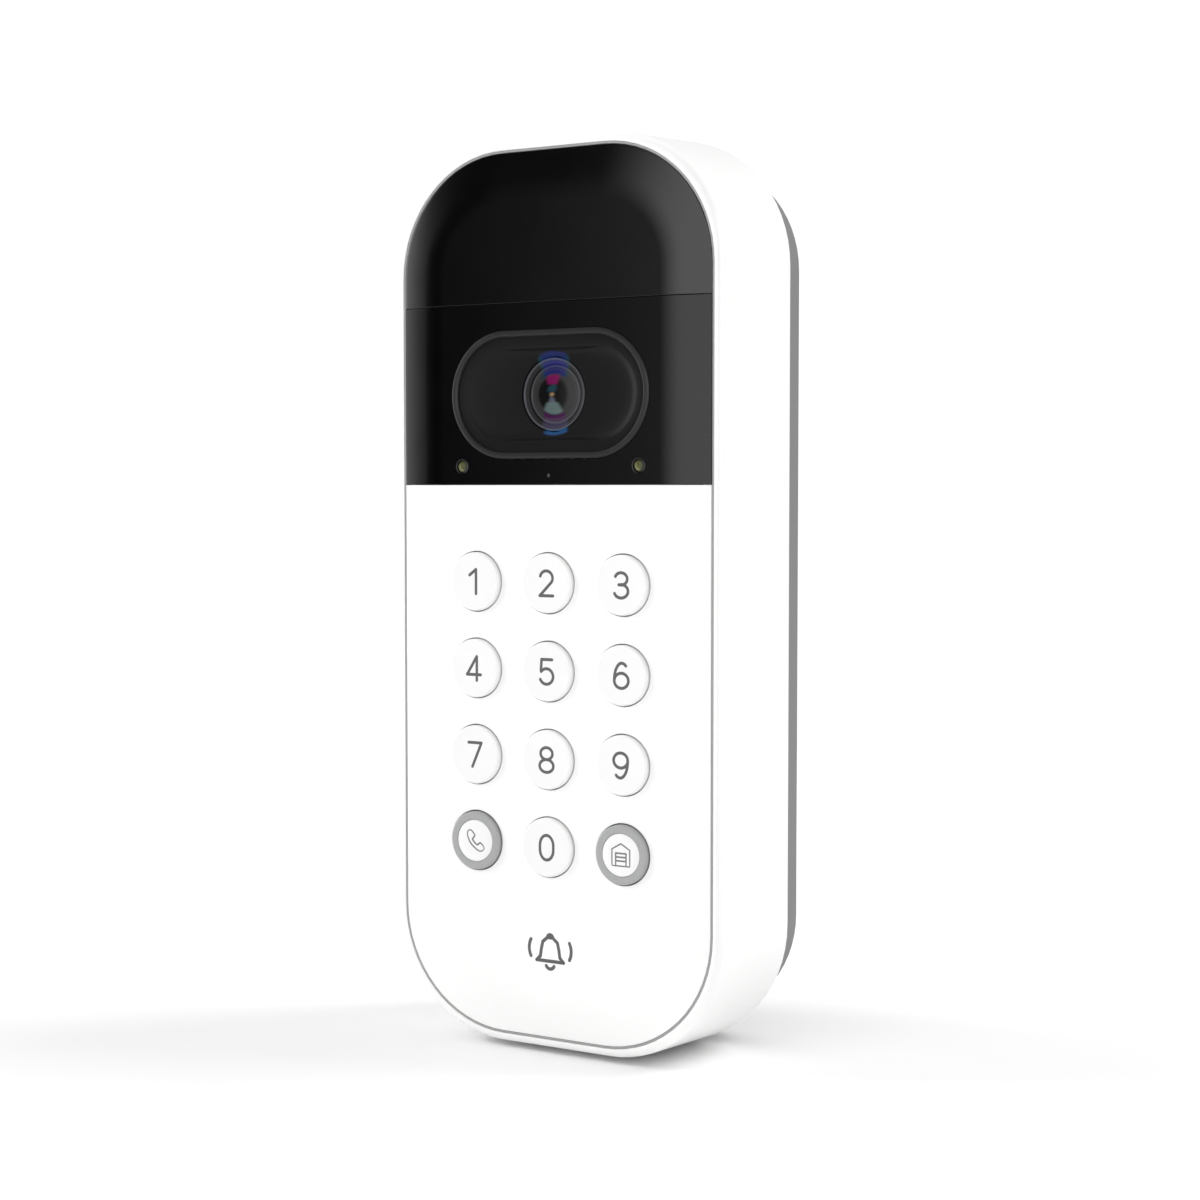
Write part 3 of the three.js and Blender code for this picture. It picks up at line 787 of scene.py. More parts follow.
def arc(centre: Point2, radii: Point2, start: float, end: float, count: int = 10) -> list[Point2]:
    """Gives points on an elliptical arc.

    Args:
        centre: Its centre.
        radii: Its two radii.
        start: First angle in degrees.
        end: Last angle in degrees.
        count: Number of steps.

    Returns:
        The points, first and last included.
    """
    points = []
    for i in range(count + 1):
        angle = math.radians(start + (end - start) * i / count)
        points.append((centre[0] + radii[0] * math.cos(angle), centre[1] + radii[1] * math.sin(angle)))
    return points


def circle(radius: float, count: int) -> list[Point2]:
    """Gives evenly spaced points on a circle about the origin."""
    angles = [2 * math.pi * i / count for i in range(count)]
    return [(radius * math.cos(a), radius * math.sin(a)) for a in angles]


def quarter_round(radius: float, steps: int) -> list[Point2]:
    """Gives a quarter circle from a face round to its side, as pairs of inset and depth."""
    angles = [math.pi / 2 * step / steps for step in range(steps + 1)]
    return [(radius * (1 - math.sin(a)), radius * (1 - math.cos(a))) for a in angles]


def show(name: str, data: bpy.types.ID) -> bpy.types.Object:
    """Puts a mesh, a light or a camera in the scene.

    Args:
        name: The object's name.
        data: What it shows.

    Returns:
        The object.
    """
    made = bpy.data.objects.new(name, data)
    bpy.context.scene.collection.objects.link(made)
    return made


class Body:
    """A mesh in millimetres under construction."""

    def __init__(self) -> None:
        """Starts with no faces."""
        self.bm = bmesh.new()

    def skin(self, rings: Sequence[Sequence[Vector]], loop: bool = False) -> "Body":
        """Joins rings of equal length by quads.

        Args:
            rings: The rings, in order.
            loop: Whether the last ring joins the first; otherwise both ends are capped.

        Returns:
            This body.
        """
        rows = [[self.bm.verts.new(p) for p in ring] for ring in rings]
        pairs = list(zip(rows, rows[1:] + rows[:1] if loop else rows[1:]))
        for lower, upper in pairs:
            count = len(lower)
            for i in range(count):
                j = (i + 1) % count
                self.bm.faces.new((lower[i], lower[j], upper[j], upper[i]))
        if not loop:
            self.bm.faces.new(rows[0])
            self.bm.faces.new(rows[-1])
        return self

    def turn(self, profile: Sequence[Point2], centre: Vector, segments: int = 48) -> "Body":
        """Turns a profile about the Y axis through a centre.

        Args:
            profile: Pairs of radius and depth; it closes on itself or ends on the axis.
            centre: A point on the axis; its depth isn't used.
            segments: Facets round the axis.

        Returns:
            This body.
        """
        spokes = [Vector((x, 0, z)) for x, z in circle(1, segments)]
        rings = [[Vector((centre.x, y, centre.z)) + s * r for s in spokes] for r, y in profile]
        return self.skin(rings, loop=profile[0][0] > 0 or profile[-1][0] > 0)

    def block(self, low: Sequence[float], high: Sequence[float]) -> "Body":
        """Adds a box between two corners.

        Args:
            low: Lowest corner.
            high: Highest corner.

        Returns:
            This body.
        """
        (x0, y0, z0), (x1, y1, z1) = low, high
        corners = ((x0, z0), (x1, z0), (x1, z1), (x0, z1))
        return self.skin([[Vector((x, y, z)) for x, z in corners] for y in (y0, y1)])

    def object(self, name: str, material: bpy.types.Material, smooth: float = 30.0) -> bpy.types.Object:
        """Finishes the mesh as an object in metres.

        Args:
            name: The object's name.
            material: Its material.
            smooth: Edges sharper than this, in degrees, stay sharp.

        Returns:
            The object.
        """
        bmesh.ops.remove_doubles(self.bm, verts=self.bm.verts[:], dist=1e-4)
        bmesh.ops.recalc_face_normals(self.bm, faces=self.bm.faces[:])
        self.bm.transform(Matrix.Scale(MM, 4))
        mesh = bpy.data.meshes.new(name)
        self.bm.to_mesh(mesh)
        self.bm.free()
        mesh.materials.append(material)
        made = show(name, mesh)
        soften(made, smooth)
        return made


def soften(made: bpy.types.Object, angle: float = 30.0) -> None:
    """Shades an object smooth, with its sharper edges kept.

    Args:
        made: The object.
        angle: The limit in degrees.
    """
    made.data.polygons.foreach_set("use_smooth", [True] * len(made.data.polygons))
    made.data.set_sharp_from_angle(angle=math.radians(angle))


def settle(made: bpy.types.Object) -> bpy.types.Object:
    """Turns an object's modifiers into its plain mesh.

    Args:
        made: The object.

    Returns:
        The same object.
    """
    graph = bpy.context.evaluated_depsgraph_get()
    mesh = bpy.data.meshes.new_from_object(made.evaluated_get(graph), depsgraph=graph)
    old, name = made.data, made.name
    made.modifiers.clear()
    made.data = mesh
    mesh.name = name
    if old.users == 0:
        bpy.data.meshes.remove(old)
    return made


def cut(made: bpy.types.Object, tools: Iterable[bpy.types.Object]) -> bpy.types.Object:
    """Cuts tools out of an object and removes the tools.

    Args:
        made: The object to cut.
        tools: Closed objects.

    Returns:
        The object.
    """
    for tool in list(tools):
        modifier = made.modifiers.new("cut", "BOOLEAN")
        modifier.operation = "DIFFERENCE"
        modifier.solver = "EXACT"
        modifier.object = tool
        settle(made)
        bpy.data.objects.remove(tool)
    return made


def carve(made: bpy.types.Object, tools: Iterable[bpy.types.Object], smooth: float) -> None:
    """Cuts tools out of an object and shades what is left.

    Args:
        made: The object to cut.
        tools: Closed objects.
        smooth: Edges sharper than this, in degrees, stay sharp.
    """
    cut(made, tools)
    soften(made, smooth)
    even(made)


def ease(made: bpy.types.Object, width: float, segments: int = 2, angle: float = 40.0) -> bpy.types.Object:
    """Rounds an object's sharp edges.

    Args:
        made: The object.
        width: The round's width in millimetres.
        segments: Facets across it.
        angle: Only edges sharper than this, in degrees, are rounded.

    Returns:
        The object.
    """
    modifier = made.modifiers.new("ease", "BEVEL")
    modifier.width = width * MM
    modifier.segments = segments
    modifier.limit_method = "ANGLE"
    modifier.angle_limit = math.radians(angle)
    settle(made)
    soften(made, angle)
    return even(made)


def even(made: bpy.types.Object) -> bpy.types.Object:
    """Keeps large faces flat in the shading, so that small rounds beside them don't tint them.

    Args:
        made: The object.

    Returns:
        The object.
    """
    modifier = made.modifiers.new("even", "WEIGHTED_NORMAL")
    modifier.keep_sharp = True
    modifier.weight = 50
    return settle(made)


# ---------------------------------------------------------------- geometry nodes


class Recipe(NodeTree):
    """A Geometry Nodes tree under construction, with named inputs."""

    def __init__(self, name: str) -> None:
        """Starts a tree with a geometry input and output.

        Args:
            name: The tree's name.
        """
        super().__init__(bpy.data.node_groups.new(name, "GeometryNodeTree"))
        for way in ("INPUT", "OUTPUT"):
            self.tree.interface.new_socket("Geometry", in_out=way, socket_type="NodeSocketGeometry")
        self.start = self.tree.nodes.new("NodeGroupInput")
        self.source = self.start.outputs["Geometry"]
        self.kinds: dict[str, bpy.types.NodeTreeInterfaceSocket] = {}

    def size(self, name: str, value: float | int | Vector) -> bpy.types.NodeSocket:
        """Adds a named input.

        Args:
            name: The input's name.
            value: Its default, which also sets its type.

        Returns:
            The socket to link from.
        """
        kinds = {float: "NodeSocketFloat", int: "NodeSocketInt", Vector: "NodeSocketVector"}
        item = self.tree.interface.new_socket(name, in_out="INPUT", socket_type=kinds[type(value)])
        item.default_value = value
        self.kinds[name] = item
        return self.start.outputs[name]

    def maths(self, operation: str, first: object, second: object) -> bpy.types.NodeSocket:
        """Works out a number from two others."""
        return self.output("ShaderNodeMath", {"operation": operation}, {0: first, 1: second})

    def vector(self, x: object = 0.0, y: object = 0.0, z: object = 0.0) -> bpy.types.NodeSocket:
        """Makes a vector of three numbers."""
        return self.output("ShaderNodeCombineXYZ", None, {0: x, 1: y, 2: z})

    def move(self, shape: bpy.types.NodeSocket, **inputs: object) -> bpy.types.NodeSocket:
        """Moves, turns or scales a shape."""
        return self.output("GeometryNodeTransform", None, {"Geometry": shape, **inputs})

    def join(self, *shapes: bpy.types.NodeSocket) -> bpy.types.NodeSocket:
        """Joins shapes.

        Args:
            shapes: The shapes.

        Returns:
            The joined shape.
        """
        both = self.node("GeometryNodeJoinGeometry")
        for shape in shapes:
            self.tree.links.new(shape, both.inputs[0])
        return both.outputs[0]

    def at_points(
        self, points: bpy.types.NodeSocket, shape: bpy.types.NodeSocket, **inputs: object
    ) -> bpy.types.NodeSocket:
        """Puts a shape at each point."""
        inputs |= {"Points": points, "Instance": shape}
        return self.output("GeometryNodeInstanceOnPoints", None, inputs)

    def flatten(self, shape: bpy.types.NodeSocket, share: object, plane: object) -> bpy.types.NodeSocket:
        """Squashes a shape along Y towards a plane.

        Args:
            shape: The shape.
            share: The share of its depth that is left.
            plane: The plane's depth.

        Returns:
            The flatter shape.
        """
        squash = self.vector(1.0, share, 1.0)
        lift = self.maths("MULTIPLY", plane, self.maths("SUBTRACT", 1.0, share))
        return self.move(shape, Translation=self.vector(0.0, lift, 0.0), Scale=squash)

    def close(self, shape: bpy.types.NodeSocket, material: bpy.types.Material) -> None:
        """Ends the tree with real geometry in one material.

        Args:
            shape: The geometry.
            material: Its material.
        """
        real = self.output("GeometryNodeRealizeInstances", None, {0: shape})
        painted = self.output("GeometryNodeSetMaterial", None, {"Geometry": real, "Material": material})
        self.tree.links.new(painted, self.tree.nodes.new("NodeGroupOutput").inputs[0])

    def grow(self, name: str, base: bpy.types.Mesh, sizes: dict, smooth: float = 35.0) -> bpy.types.Object:
        """Runs the tree on a base mesh and keeps the result as a plain mesh.

        Args:
            name: The object's name.
            base: The base mesh.
            sizes: Values for the named inputs.
            smooth: Edges sharper than this, in degrees, stay sharp.

        Returns:
            The object.
        """
        made = show(name, base)
        modifier = made.modifiers.new("grow", "NODES")
        modifier.node_group = self.tree
        for key, value in sizes.items():
            modifier[self.kinds[key].identifier] = value
        settle(made)
        soften(made, smooth)
        return made


def paths_mesh(name: str, paths: Sequence[Sequence[Vector]], closed: bool = False) -> bpy.types.Mesh:
    """Makes a mesh of edges that follows paths given in millimetres.

    Args:
        name: The mesh's name.
        paths: The paths.
        closed: Whether each path closes on itself.

    Returns:
        The mesh, in metres.
    """
    points, edges = [], []
    for path in paths:
        first = len(points)
        points += [p * MM for p in path]
        edges += [(first + i, first + i + 1) for i in range(len(path) - 1)]
        if closed:
            edges.append((len(points) - 1, first))
    mesh = bpy.data.meshes.new(name)
    mesh.from_pydata(points, edges, [])
    return mesh


def bead_recipe(material: bpy.types.Material) -> Recipe:
    """Makes a bead of oval section along the base mesh's edges.

    Args:
        material: Its material.

    Returns:
        The recipe; its inputs are Radius, Flatness and Plane.
    """
    recipe = Recipe("bead_along_path")
    radius = recipe.size("Radius", 0.0005)
    flat = recipe.size("Flatness", 1.0)
    plane = recipe.size("Plane", 0.0)
    path = recipe.output("GeometryNodeMeshToCurve", None, {0: recipe.source})
    section = recipe.output("GeometryNodeCurvePrimitiveCircle", None, {"Resolution": 16, "Radius": radius})
    swept = recipe.output("GeometryNodeCurveToMesh", None, {0: path, 1: section})
    recipe.close(recipe.flatten(swept, flat, plane), material)
    return recipe


def ink_recipe(material: bpy.types.Material) -> Recipe:
    """Makes a printed film along the base mesh's edges, with round ends.

    Args:
        material: The ink.

    Returns:
        The recipe; its inputs are Stroke, Film and Plane.
    """
    recipe = Recipe("printed_stroke")
    stroke = recipe.size("Stroke", 0.0004)
    film = recipe.size("Film", 0.05)
    plane = recipe.size("Plane", 0.0)
    half = recipe.maths("MULTIPLY", stroke, 0.5)
    path = recipe.output("GeometryNodeMeshToCurve", None, {0: recipe.source})
    section = recipe.output("GeometryNodeCurvePrimitiveCircle", None, {"Resolution": 8, "Radius": half})
    swept = recipe.output("GeometryNodeCurveToMesh", None, {0: path, 1: section, "Fill Caps": True})
    ends = recipe.output("GeometryNodeCurveEndpointSelection")
    ball = recipe.output("GeometryNodeMeshUVSphere", None, {"Segments": 14, "Rings": 8, "Radius": half})
    both = recipe.join(swept, recipe.at_points(path, ball, Selection=ends))
    solid = recipe.output("GeometryNodeRealizeInstances", None, {0: both})
    recipe.close(recipe.flatten(solid, film, plane), material)
    return recipe


def rounded_slot_recipe(material: bpy.types.Material) -> Recipe:
    """Makes one round-ended slot, upright in its own XY plane, at each point of the base mesh.

    Args:
        material: Its material.

    Returns:
        The recipe; its inputs are Width, Length, Depth and Turn.
    """
    recipe = Recipe("rounded_slots")
    width, length = recipe.size("Width", 0.0014), recipe.size("Length", 0.008)
    depth, turn = recipe.size("Depth", 0.004), recipe.size("Turn", Vector((0, 0, 0)))
    sides = {"Width": width, "Height": length}
    oblong = recipe.output("GeometryNodeCurvePrimitiveQuadrilateral", None, sides)
    corner = {"Curve": oblong, "Count": 6, "Radius": recipe.maths("MULTIPLY", width, 0.499)}
    round_ends = recipe.output("GeometryNodeFilletCurve", {"mode": "POLY"}, corner)
    face = recipe.output("GeometryNodeFillCurve", {"mode": "NGONS"}, {0: round_ends})
    raised = recipe.output("GeometryNodeExtrudeMesh", None, {"Mesh": face, "Offset Scale": depth})
    flipped = recipe.output("GeometryNodeFlipFaces", None, {0: face})
    closed = {0: recipe.join(raised, flipped), "Distance": 1e-7}
    slot = recipe.output("GeometryNodeMergeByDistance", None, closed)
    recipe.close(recipe.at_points(recipe.source, slot, Rotation=turn), material)
    return recipe


def screw_recipe(material: bpy.types.Material) -> Recipe:
    """Makes a cross-recessed screw head on its shank at each point of the base mesh.

    Args:
        material: Its material.

    Returns:
        The recipe; its inputs are Head Radius, Head Height, Shank Radius, Shank Length and Turn.
    """
    recipe = Recipe("cross_screws")
    head_radius, head_height = recipe.size("Head Radius", 0.0025), recipe.size("Head Height", 0.0006)
    shank_radius, shank_length = recipe.size("Shank Radius", 0.00105), recipe.size("Shank Length", 0.008)
    turn = recipe.size("Turn", Vector((0, 0, 0)))
    disc = {"Vertices": 40, "Radius": head_radius, "Depth": head_height}
    recess = recipe.output("GeometryNodeMeshCylinder", None, disc)
    arm = recipe.maths("MULTIPLY", head_radius, 1.15)
    wing = recipe.maths("MULTIPLY", head_radius, 0.24)
    above = recipe.vector(z=recipe.maths("MULTIPLY", head_height, 0.5))
    for across, along in ((arm, wing), (wing, arm)):
        bar = recipe.output("GeometryNodeMeshCube", None, {"Size": recipe.vector(across, along, head_height)})
        tools = {0: recess, 1: recipe.move(bar, Translation=above)}
        recess = recipe.output("GeometryNodeMeshBoolean", {"operation": "DIFFERENCE"}, tools)
    rod = {"Vertices": 24, "Radius": shank_radius, "Depth": shank_length}
    shank = recipe.output("GeometryNodeMeshCylinder", None, rod)
    below = recipe.vector(z=recipe.maths("MULTIPLY", shank_length, -0.5))
    whole = recipe.join(recess, recipe.move(shank, Translation=below))
    recipe.close(recipe.at_points(recipe.source, whole, Rotation=turn), material)
    return recipe


def ring_stack_recipe(material: bpy.types.Material) -> Recipe:
    """Makes a stack of fine concentric lands that narrows along the Y axis from each base point.

    Args:
        material: Its material.

    Returns:
        The recipe; its inputs are Count, Radius, Shrink, Pitch and Thickness.
    """
    recipe = Recipe("ring_stack")
    count, radius = recipe.size("Count", 5), recipe.size("Radius", 0.005)
    shrink, pitch = recipe.size("Shrink", 0.0003), recipe.size("Pitch", 0.0003)
    thickness = recipe.size("Thickness", 0.0001)
    ring = recipe.output("GeometryNodeCurvePrimitiveCircle", None, {"Resolution": 64, "Radius": 1.0})
    upright = recipe.move(ring, Rotation=(math.pi / 2, 0, 0))
    line = recipe.output("GeometryNodeMeshLine", None, {"Count": count, "Offset": recipe.vector(y=pitch)})
    less = recipe.maths("MULTIPLY", recipe.output("GeometryNodeInputIndex"), shrink)
    rings = recipe.at_points(line, upright, Scale=recipe.maths("SUBTRACT", radius, less))
    real = recipe.output("GeometryNodeRealizeInstances", None, {0: rings})
    wire = recipe.output("GeometryNodeCurvePrimitiveCircle", None, {"Resolution": 10, "Radius": thickness})
    swept = recipe.output("GeometryNodeCurveToMesh", None, {0: real, 1: wire})
    recipe.close(recipe.at_points(recipe.source, swept), material)
    return recipe


# ---------------------------------------------------------------- placing pieces


class Bench:
    """Finishes pieces, puts them on their bodies and reports each."""

    def __init__(self, palette: Palette) -> None:
        """Keeps the palette for the pieces.

        Args:
            palette: The finishes.
        """
        self.palette = palette
        self.count = 0

    def fit(self, made: bpy.types.Object, body: str, finish: Finish, *nodes: str) -> bpy.types.Object:
        """Rides a piece on its body and hides the nodes it stands for.

        Args:
            made: The piece.
            body: The CAD body.
            finish: Its finish; not used.
            nodes: The CAD nodes it replaces.

        Returns:
            The piece.
        """
        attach(made, body)
        if nodes:
            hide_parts(*nodes)
        self.count += 1
        log.info("%s on %s: %d faces", made.name, body, len(made.data.polygons))
        return made

    def piece(self, body: Body, name: str, finish: Finish, smooth: float = 30.0) -> bpy.types.Object:
        """Makes an object of a body's mesh in one of the finishes."""
        return body.object(name, self.palette[finish], smooth)

    def add(self, body: Body, name: str, on: str, finish: Finish, smooth: float, *nodes: str) -> None:
        """Makes an object of a body's mesh and fits it at once."""
        self.fit(self.piece(body, name, finish, smooth), on, finish, *nodes)

    def dress(self, finish: Finish, *nodes: str) -> None:
        """Gives CAD nodes that stay in view their finish.

        Args:
            finish: The finish.
            nodes: The nodes.
        """
        for name in nodes:
            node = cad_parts[name]
            node.data.materials.clear()
            node.data.materials.append(self.palette[finish])
            log.info("%s dressed in %s", name, finish.value)


# ---------------------------------------------------------------- housing

BACK_CORNER = 22.7
FRONT_CORNER = 21.8
JOINT_CORNER = 21.0
FRONT_TAPER = 1.1
JOINT_LAP = 0.1


def housing_outlines() -> tuple[Outline, Outline, Outline]:
    """Works out the housing's outlines.

    Returns:
        The outlines at the back, at the front and at the joint with the panels.
    """
    high, joint = node_box("main_housing")[1], node_box("reveal_gasket")[1]
    back = Outline(high.x, high.z, BACK_CORNER)
    front = Outline(high.x - FRONT_TAPER, high.z - FRONT_TAPER, FRONT_CORNER)
    return back, front, Outline(joint.x - JOINT_LAP, joint.z - JOINT_LAP, JOINT_CORNER)


@dataclass
class HousingShell:
    """The white shell, the grey gasket in its front joint, whose grey is partly painted shade of the joint,
    and the sound slots underneath.
    """

    bench: Bench
    rim_round: float = 1.3
    rear_round: float = 0.5
    wall: float = 1.7
    seat_depth: float = 1.2
    ledge: float = 2.5
    ledge_depth: float = 2.0
    joint_lap: float = 0.12
    line_reach: Point2 = (-0.08, 0.32)
    line_depths: Point2 = (0.12, 1.0)
    slot_pitch: float = 3.2
    slot_count: int = 5
    slot_inset: float = 1.5

    def build(self) -> None:
        """Builds the shell and the gasket."""
        back, front, joint = housing_outlines()
        low, high = node_box("main_housing")
        seat = low.y + self.seat_depth
        behind = seat + self.ledge_depth
        rings = self.outer_rings(back, front, joint, low.y, high.y)
        rings += [joint.inset(-self.joint_lap).ring(seat), joint.inset(self.ledge).ring(seat)]
        rings += [joint.inset(self.ledge).ring(behind), front.inset(self.wall).ring(behind)]
        rings.append(back.inset(self.wall).ring(high.y))
        shell = self.bench.piece(Body().skin(rings, loop=True), "housing_shell", Finish.HOUSING, 28)
        carve(shell, [self.sound_slots(low.z)], 28)
        self.bench.fit(shell, UNIT, Finish.HOUSING, "main_housing")
        self.gasket(joint, low.y)

    def outer_rings(
        self, back: Outline, front: Outline, joint: Outline, rim_y: float, rear_y: float
    ) -> list[list[Vector]]:
        """Gives the rings of the outside, from the rear edge to the joint.

        Args:
            back: Outline at the rear.
            front: Outline at the front.
            joint: Outline of the joint with the panels.
            rim_y: Depth of the front rim.
            rear_y: Depth of the rear edge.

        Returns:
            The rings.
        """
        rings = [back.inset(inset).ring(rear_y - drop) for inset, drop in quarter_round(self.rear_round, 4)]
        side_start, side_end = rear_y - self.rear_round, rim_y + self.rim_round
        for share in (0.25, 0.5, 0.75):
            rings.append(back.mixed(front, share).ring(side_start + (side_end - side_start) * share))
        edge = joint.inset(-self.joint_lap)
        rim_width = front.w - edge.w
        for rise, travel in quarter_round(self.rim_round, 10):
            rings.append(front.mixed(edge, travel / rim_width).ring(rim_y + rise))
        return rings + [front.mixed(edge, 0.95).ring(rim_y), edge.ring(rim_y + 0.08)]

    def sound_slots(self, bottom: float) -> bpy.types.Object:
        """Makes the cutters of the sound slots, one run of Geometry Nodes for all.

        Args:
            bottom: Height of the housing's underside.

        Returns:
            The cutters as one object.
        """
        recipe = rounded_slot_recipe(self.bench.palette[Finish.HOUSING])
        middle = node_centre("speaker").y - self.slot_inset
        half = (self.slot_count - 1) / 2
        points = [Vector(((i - half) * self.slot_pitch, middle, bottom - 1)) for i in range(self.slot_count)]
        base = paths_mesh("slot_points", [[p] for p in points])
        return recipe.grow("sound_slot_cutters", base, {"Width": 0.0014, "Length": 0.01, "Depth": 0.0045})

    def gasket(self, joint: Outline, rim_y: float) -> None:
        """Builds the grey gasket between shell and panels; its grey is partly its own colour and partly
        painted shade of the narrow joint.

        Args:
            joint: The joint's outline.
            rim_y: Depth of the front rim.
        """
        outer, inner = (joint.inset(reach) for reach in self.line_reach)
        top, bottom = (rim_y + depth for depth in self.line_depths)
        rings = [outer.ring(bottom), outer.ring(top + 0.06), outer.inset(0.08).ring(top)]
        rings += [inner.inset(-0.08).ring(top), inner.ring(top + 0.06), inner.ring(bottom)]
        body = Body().skin(rings, loop=True)
        self.bench.add(body, "joint_gasket", UNIT, Finish.GASKET, 60, "reveal_gasket")


# ---------------------------------------------------------------- front panels


@dataclass
class FrontPanels:
    """The crowned front: white keypad panel, camera window and sensor window."""

    bench: Bench
    margin: float = 5.0
    blend: float = 4.0
    steepen: float = 0.22
    joint_gap: float = 0.36
    key_gap: float = 0.18
    seam_half: float = 0.06
    sink_reach: float = 0.2
    sink_depth: float = 0.055
    light_hole: float = 1.14
    microphone_hole: float = 0.36
    half_gap: float = 0.15
    beyond: float = 200.0
    drill: Point2 = (-40.0, -20.0)

    def crown(self, distance: float) -> float:
        """Gives how far the surface stands above its edge at a distance in from it.

        Args:
            distance: Distance in from the outline.

        Returns:
            The rise in millimetres.
        """
        slope = self.rise / (self.margin * (1 + self.steepen / 2) + self.blend / 2)
        near = min(distance, self.margin)
        rise = near * (1 + self.steepen * (1 - near / (2 * self.margin)))
        t = min(max(distance - self.margin, 0) / self.blend, 1.0)
        return slope * (rise + self.blend * (t - t * t / 2))

    def build(self) -> None:
        """Builds the three panels."""
        low, high = node_box("keypad_panel")
        _, window_high = node_box("camera_window")
        self.edge_y = node_box("main_housing")[0].y
        self.rise = self.edge_y - low.y
        self.back_y = high.y
        split, seam = high.z + self.half_gap, window_high.z + self.half_gap
        half = self.seam_half
        camera_holes = [self.camera_opening, self.round_holes]
        for node, finish, bottom, top, edge, cutters in (
            ("keypad_panel", Finish.PANEL, -self.beyond, split - half, 0.12, [self.key_holes]),
            ("camera_window", Finish.WINDOW, split + half, seam - half, 0.08, camera_holes),
            ("sensor_window", Finish.SENSOR, seam + half, self.beyond, 0.08, []),
        ):
            panel = self.sheet(f"{node}_face", finish, bottom, top)
            cut(panel, [cutter() for cutter in cutters])
            ease(panel, edge, 2, 50)
            self.bench.fit(panel, UNIT, finish, node)

    def sheet(self, name: str, finish: Finish, bottom: float, top: float) -> bpy.types.Object:
        """Makes the part of the crowned sheet between two heights.

        Args:
            name: The piece's name.
            finish: Its finish.
            bottom: Lower height.
            top: Upper height.

        Returns:
            The piece.
        """
        outline = housing_outlines()[2].inset(self.joint_gap)
        rings = [outline.ring(self.back_y)]
        reach = self.margin + self.blend
        stops = [self.margin * i / 10 for i in range(11)]
        stops += [self.margin + self.blend * i / 10 for i in range(1, 11)]
        for d in stops:
            rings.append(outline.inset(min(d, reach)).ring(self.edge_y - self.crown(d)))
        body = Body().skin(rings)
        for z, way in ((bottom, -1), (top, 1)):
            whole = body.bm.verts[:] + body.bm.edges[:] + body.bm.faces[:]
            plane = {"plane_co": (0, 0, z), "plane_no": (0, 0, way)}
            sliced = bmesh.ops.bisect_plane(body.bm, geom=whole, clear_outer=True, **plane)
            rim = [e for e in sliced["geom_cut"] if isinstance(e, bmesh.types.BMEdge)]
            if rim:
                bmesh.ops.holes_fill(body.bm, edges=rim)
        return self.bench.piece(body, name, finish, 20)

    def bore(self, body: Body, radius: float, centre: Vector, segments: int) -> None:
        """Adds the cutter of one round hole.

        Args:
            body: The cutters.
            radius: The hole's radius.
            centre: Its middle.
            segments: Facets round it.
        """
        start, end = self.drill
        body.turn([(0, start), (radius, start), (radius, end), (0, end)], centre, segments)

    def key_holes(self) -> bpy.types.Object:
        """Makes the cutters of the twelve key holes.

        Returns:
            The cutters as one object.
        """
        body = Body()
        for node in KEY_NODES:
            self.bore(body, KEY_RADIUS + self.key_gap, node_centre(node), 96)
        return self.bench.piece(body, "key_hole_cutters", Finish.PANEL)

    def camera_opening(self) -> bpy.types.Object:
        """Makes the cutter of the oval camera opening.

        Returns:
            The cutter.
        """
        low, high = node_box("camera_bezel")
        half = (high.z - low.z) / 2
        oval = Outline(high.x + 0.05, half + 0.05, half + 0.04, 0, (low.z + high.z) / 2)
        rings = [oval.ring(y, 32) for y in self.drill]
        return self.bench.piece(Body().skin(rings), "camera_opening_cutter", Finish.WINDOW)

    def round_holes(self) -> bpy.types.Object:
        """Makes the cutters of the countersunk light holes and of the microphone hole.

        Returns:
            The cutters as one object.
        """
        body = Body()
        face = node_box("camera_window")[0].y
        (start, end), hole = self.drill, self.light_hole
        mouth = hole + self.sink_reach + (face - start) * self.sink_reach / self.sink_depth
        profile = [(0, start), (mouth, start), (hole, face + self.sink_depth), (hole, end), (0, end)]
        for side in SIDES:
            body.turn(profile, node_centre(f"led_lens_{side}"), 48)
        self.bore(body, self.microphone_hole, node_centre("microphone"), 24)
        return self.bench.piece(body, "round_hole_cutters", Finish.WINDOW)


# ---------------------------------------------------------------- keypad

DIGITS = "1234567890"
KEY_NODES = [f"key_{d}" for d in DIGITS] + ["call_key_ring", "garage_key_ring"]
KEY_RADIUS = 5.12


def smooth_loop(points: Sequence[Point2], steps: int = 5) -> list[Point2]:
    """Runs a smooth closed curve through points.

    Args:
        points: The points.
        steps: Steps from one point to the next.

    Returns:
        Points on the curve.
    """
    count = len(points)
    curve = []
    for i in range(count):
        a, b, c, d = (Vector(points[(i + k) % count]) for k in (-1, 0, 1, 2))
        for step in range(steps):
            t = step / steps
            square, cube = 2 * a - 5 * b + 4 * c - d, 3 * b - a - 3 * c + d
            p = 0.5 * (2 * b + (c - a) * t + square * t**2 + cube * t**3)
            curve.append((p.x, p.y))
    curve.append(curve[0])
    return curve


def split_at_corners(stroke: Sequence[Point2], limit: float = 25.0, step: float = 0.35) -> list[list[Vector]]:
    """Splits a stroke at its sharp corners and adds points along its straight runs.

    Args:
        stroke: The stroke's points.
        limit: A turn above this many degrees is a corner.
        step: Longest distance from point to point.

    Returns:
        The runs between the corners.
    """
    points = [Vector(p) for p in stroke]
    runs = [[points[0]]]
    for i in range(1, len(points)):
        before, here = points[i - 1], points[i]
        count = max(1, math.ceil((here - before).length / step))
        runs[-1] += [before.lerp(here, k / count) for k in range(1, count + 1)]
        if i + 1 < len(points) and (here - before).angle(points[i + 1] - here) > math.radians(limit):
            runs.append([here])
    return runs


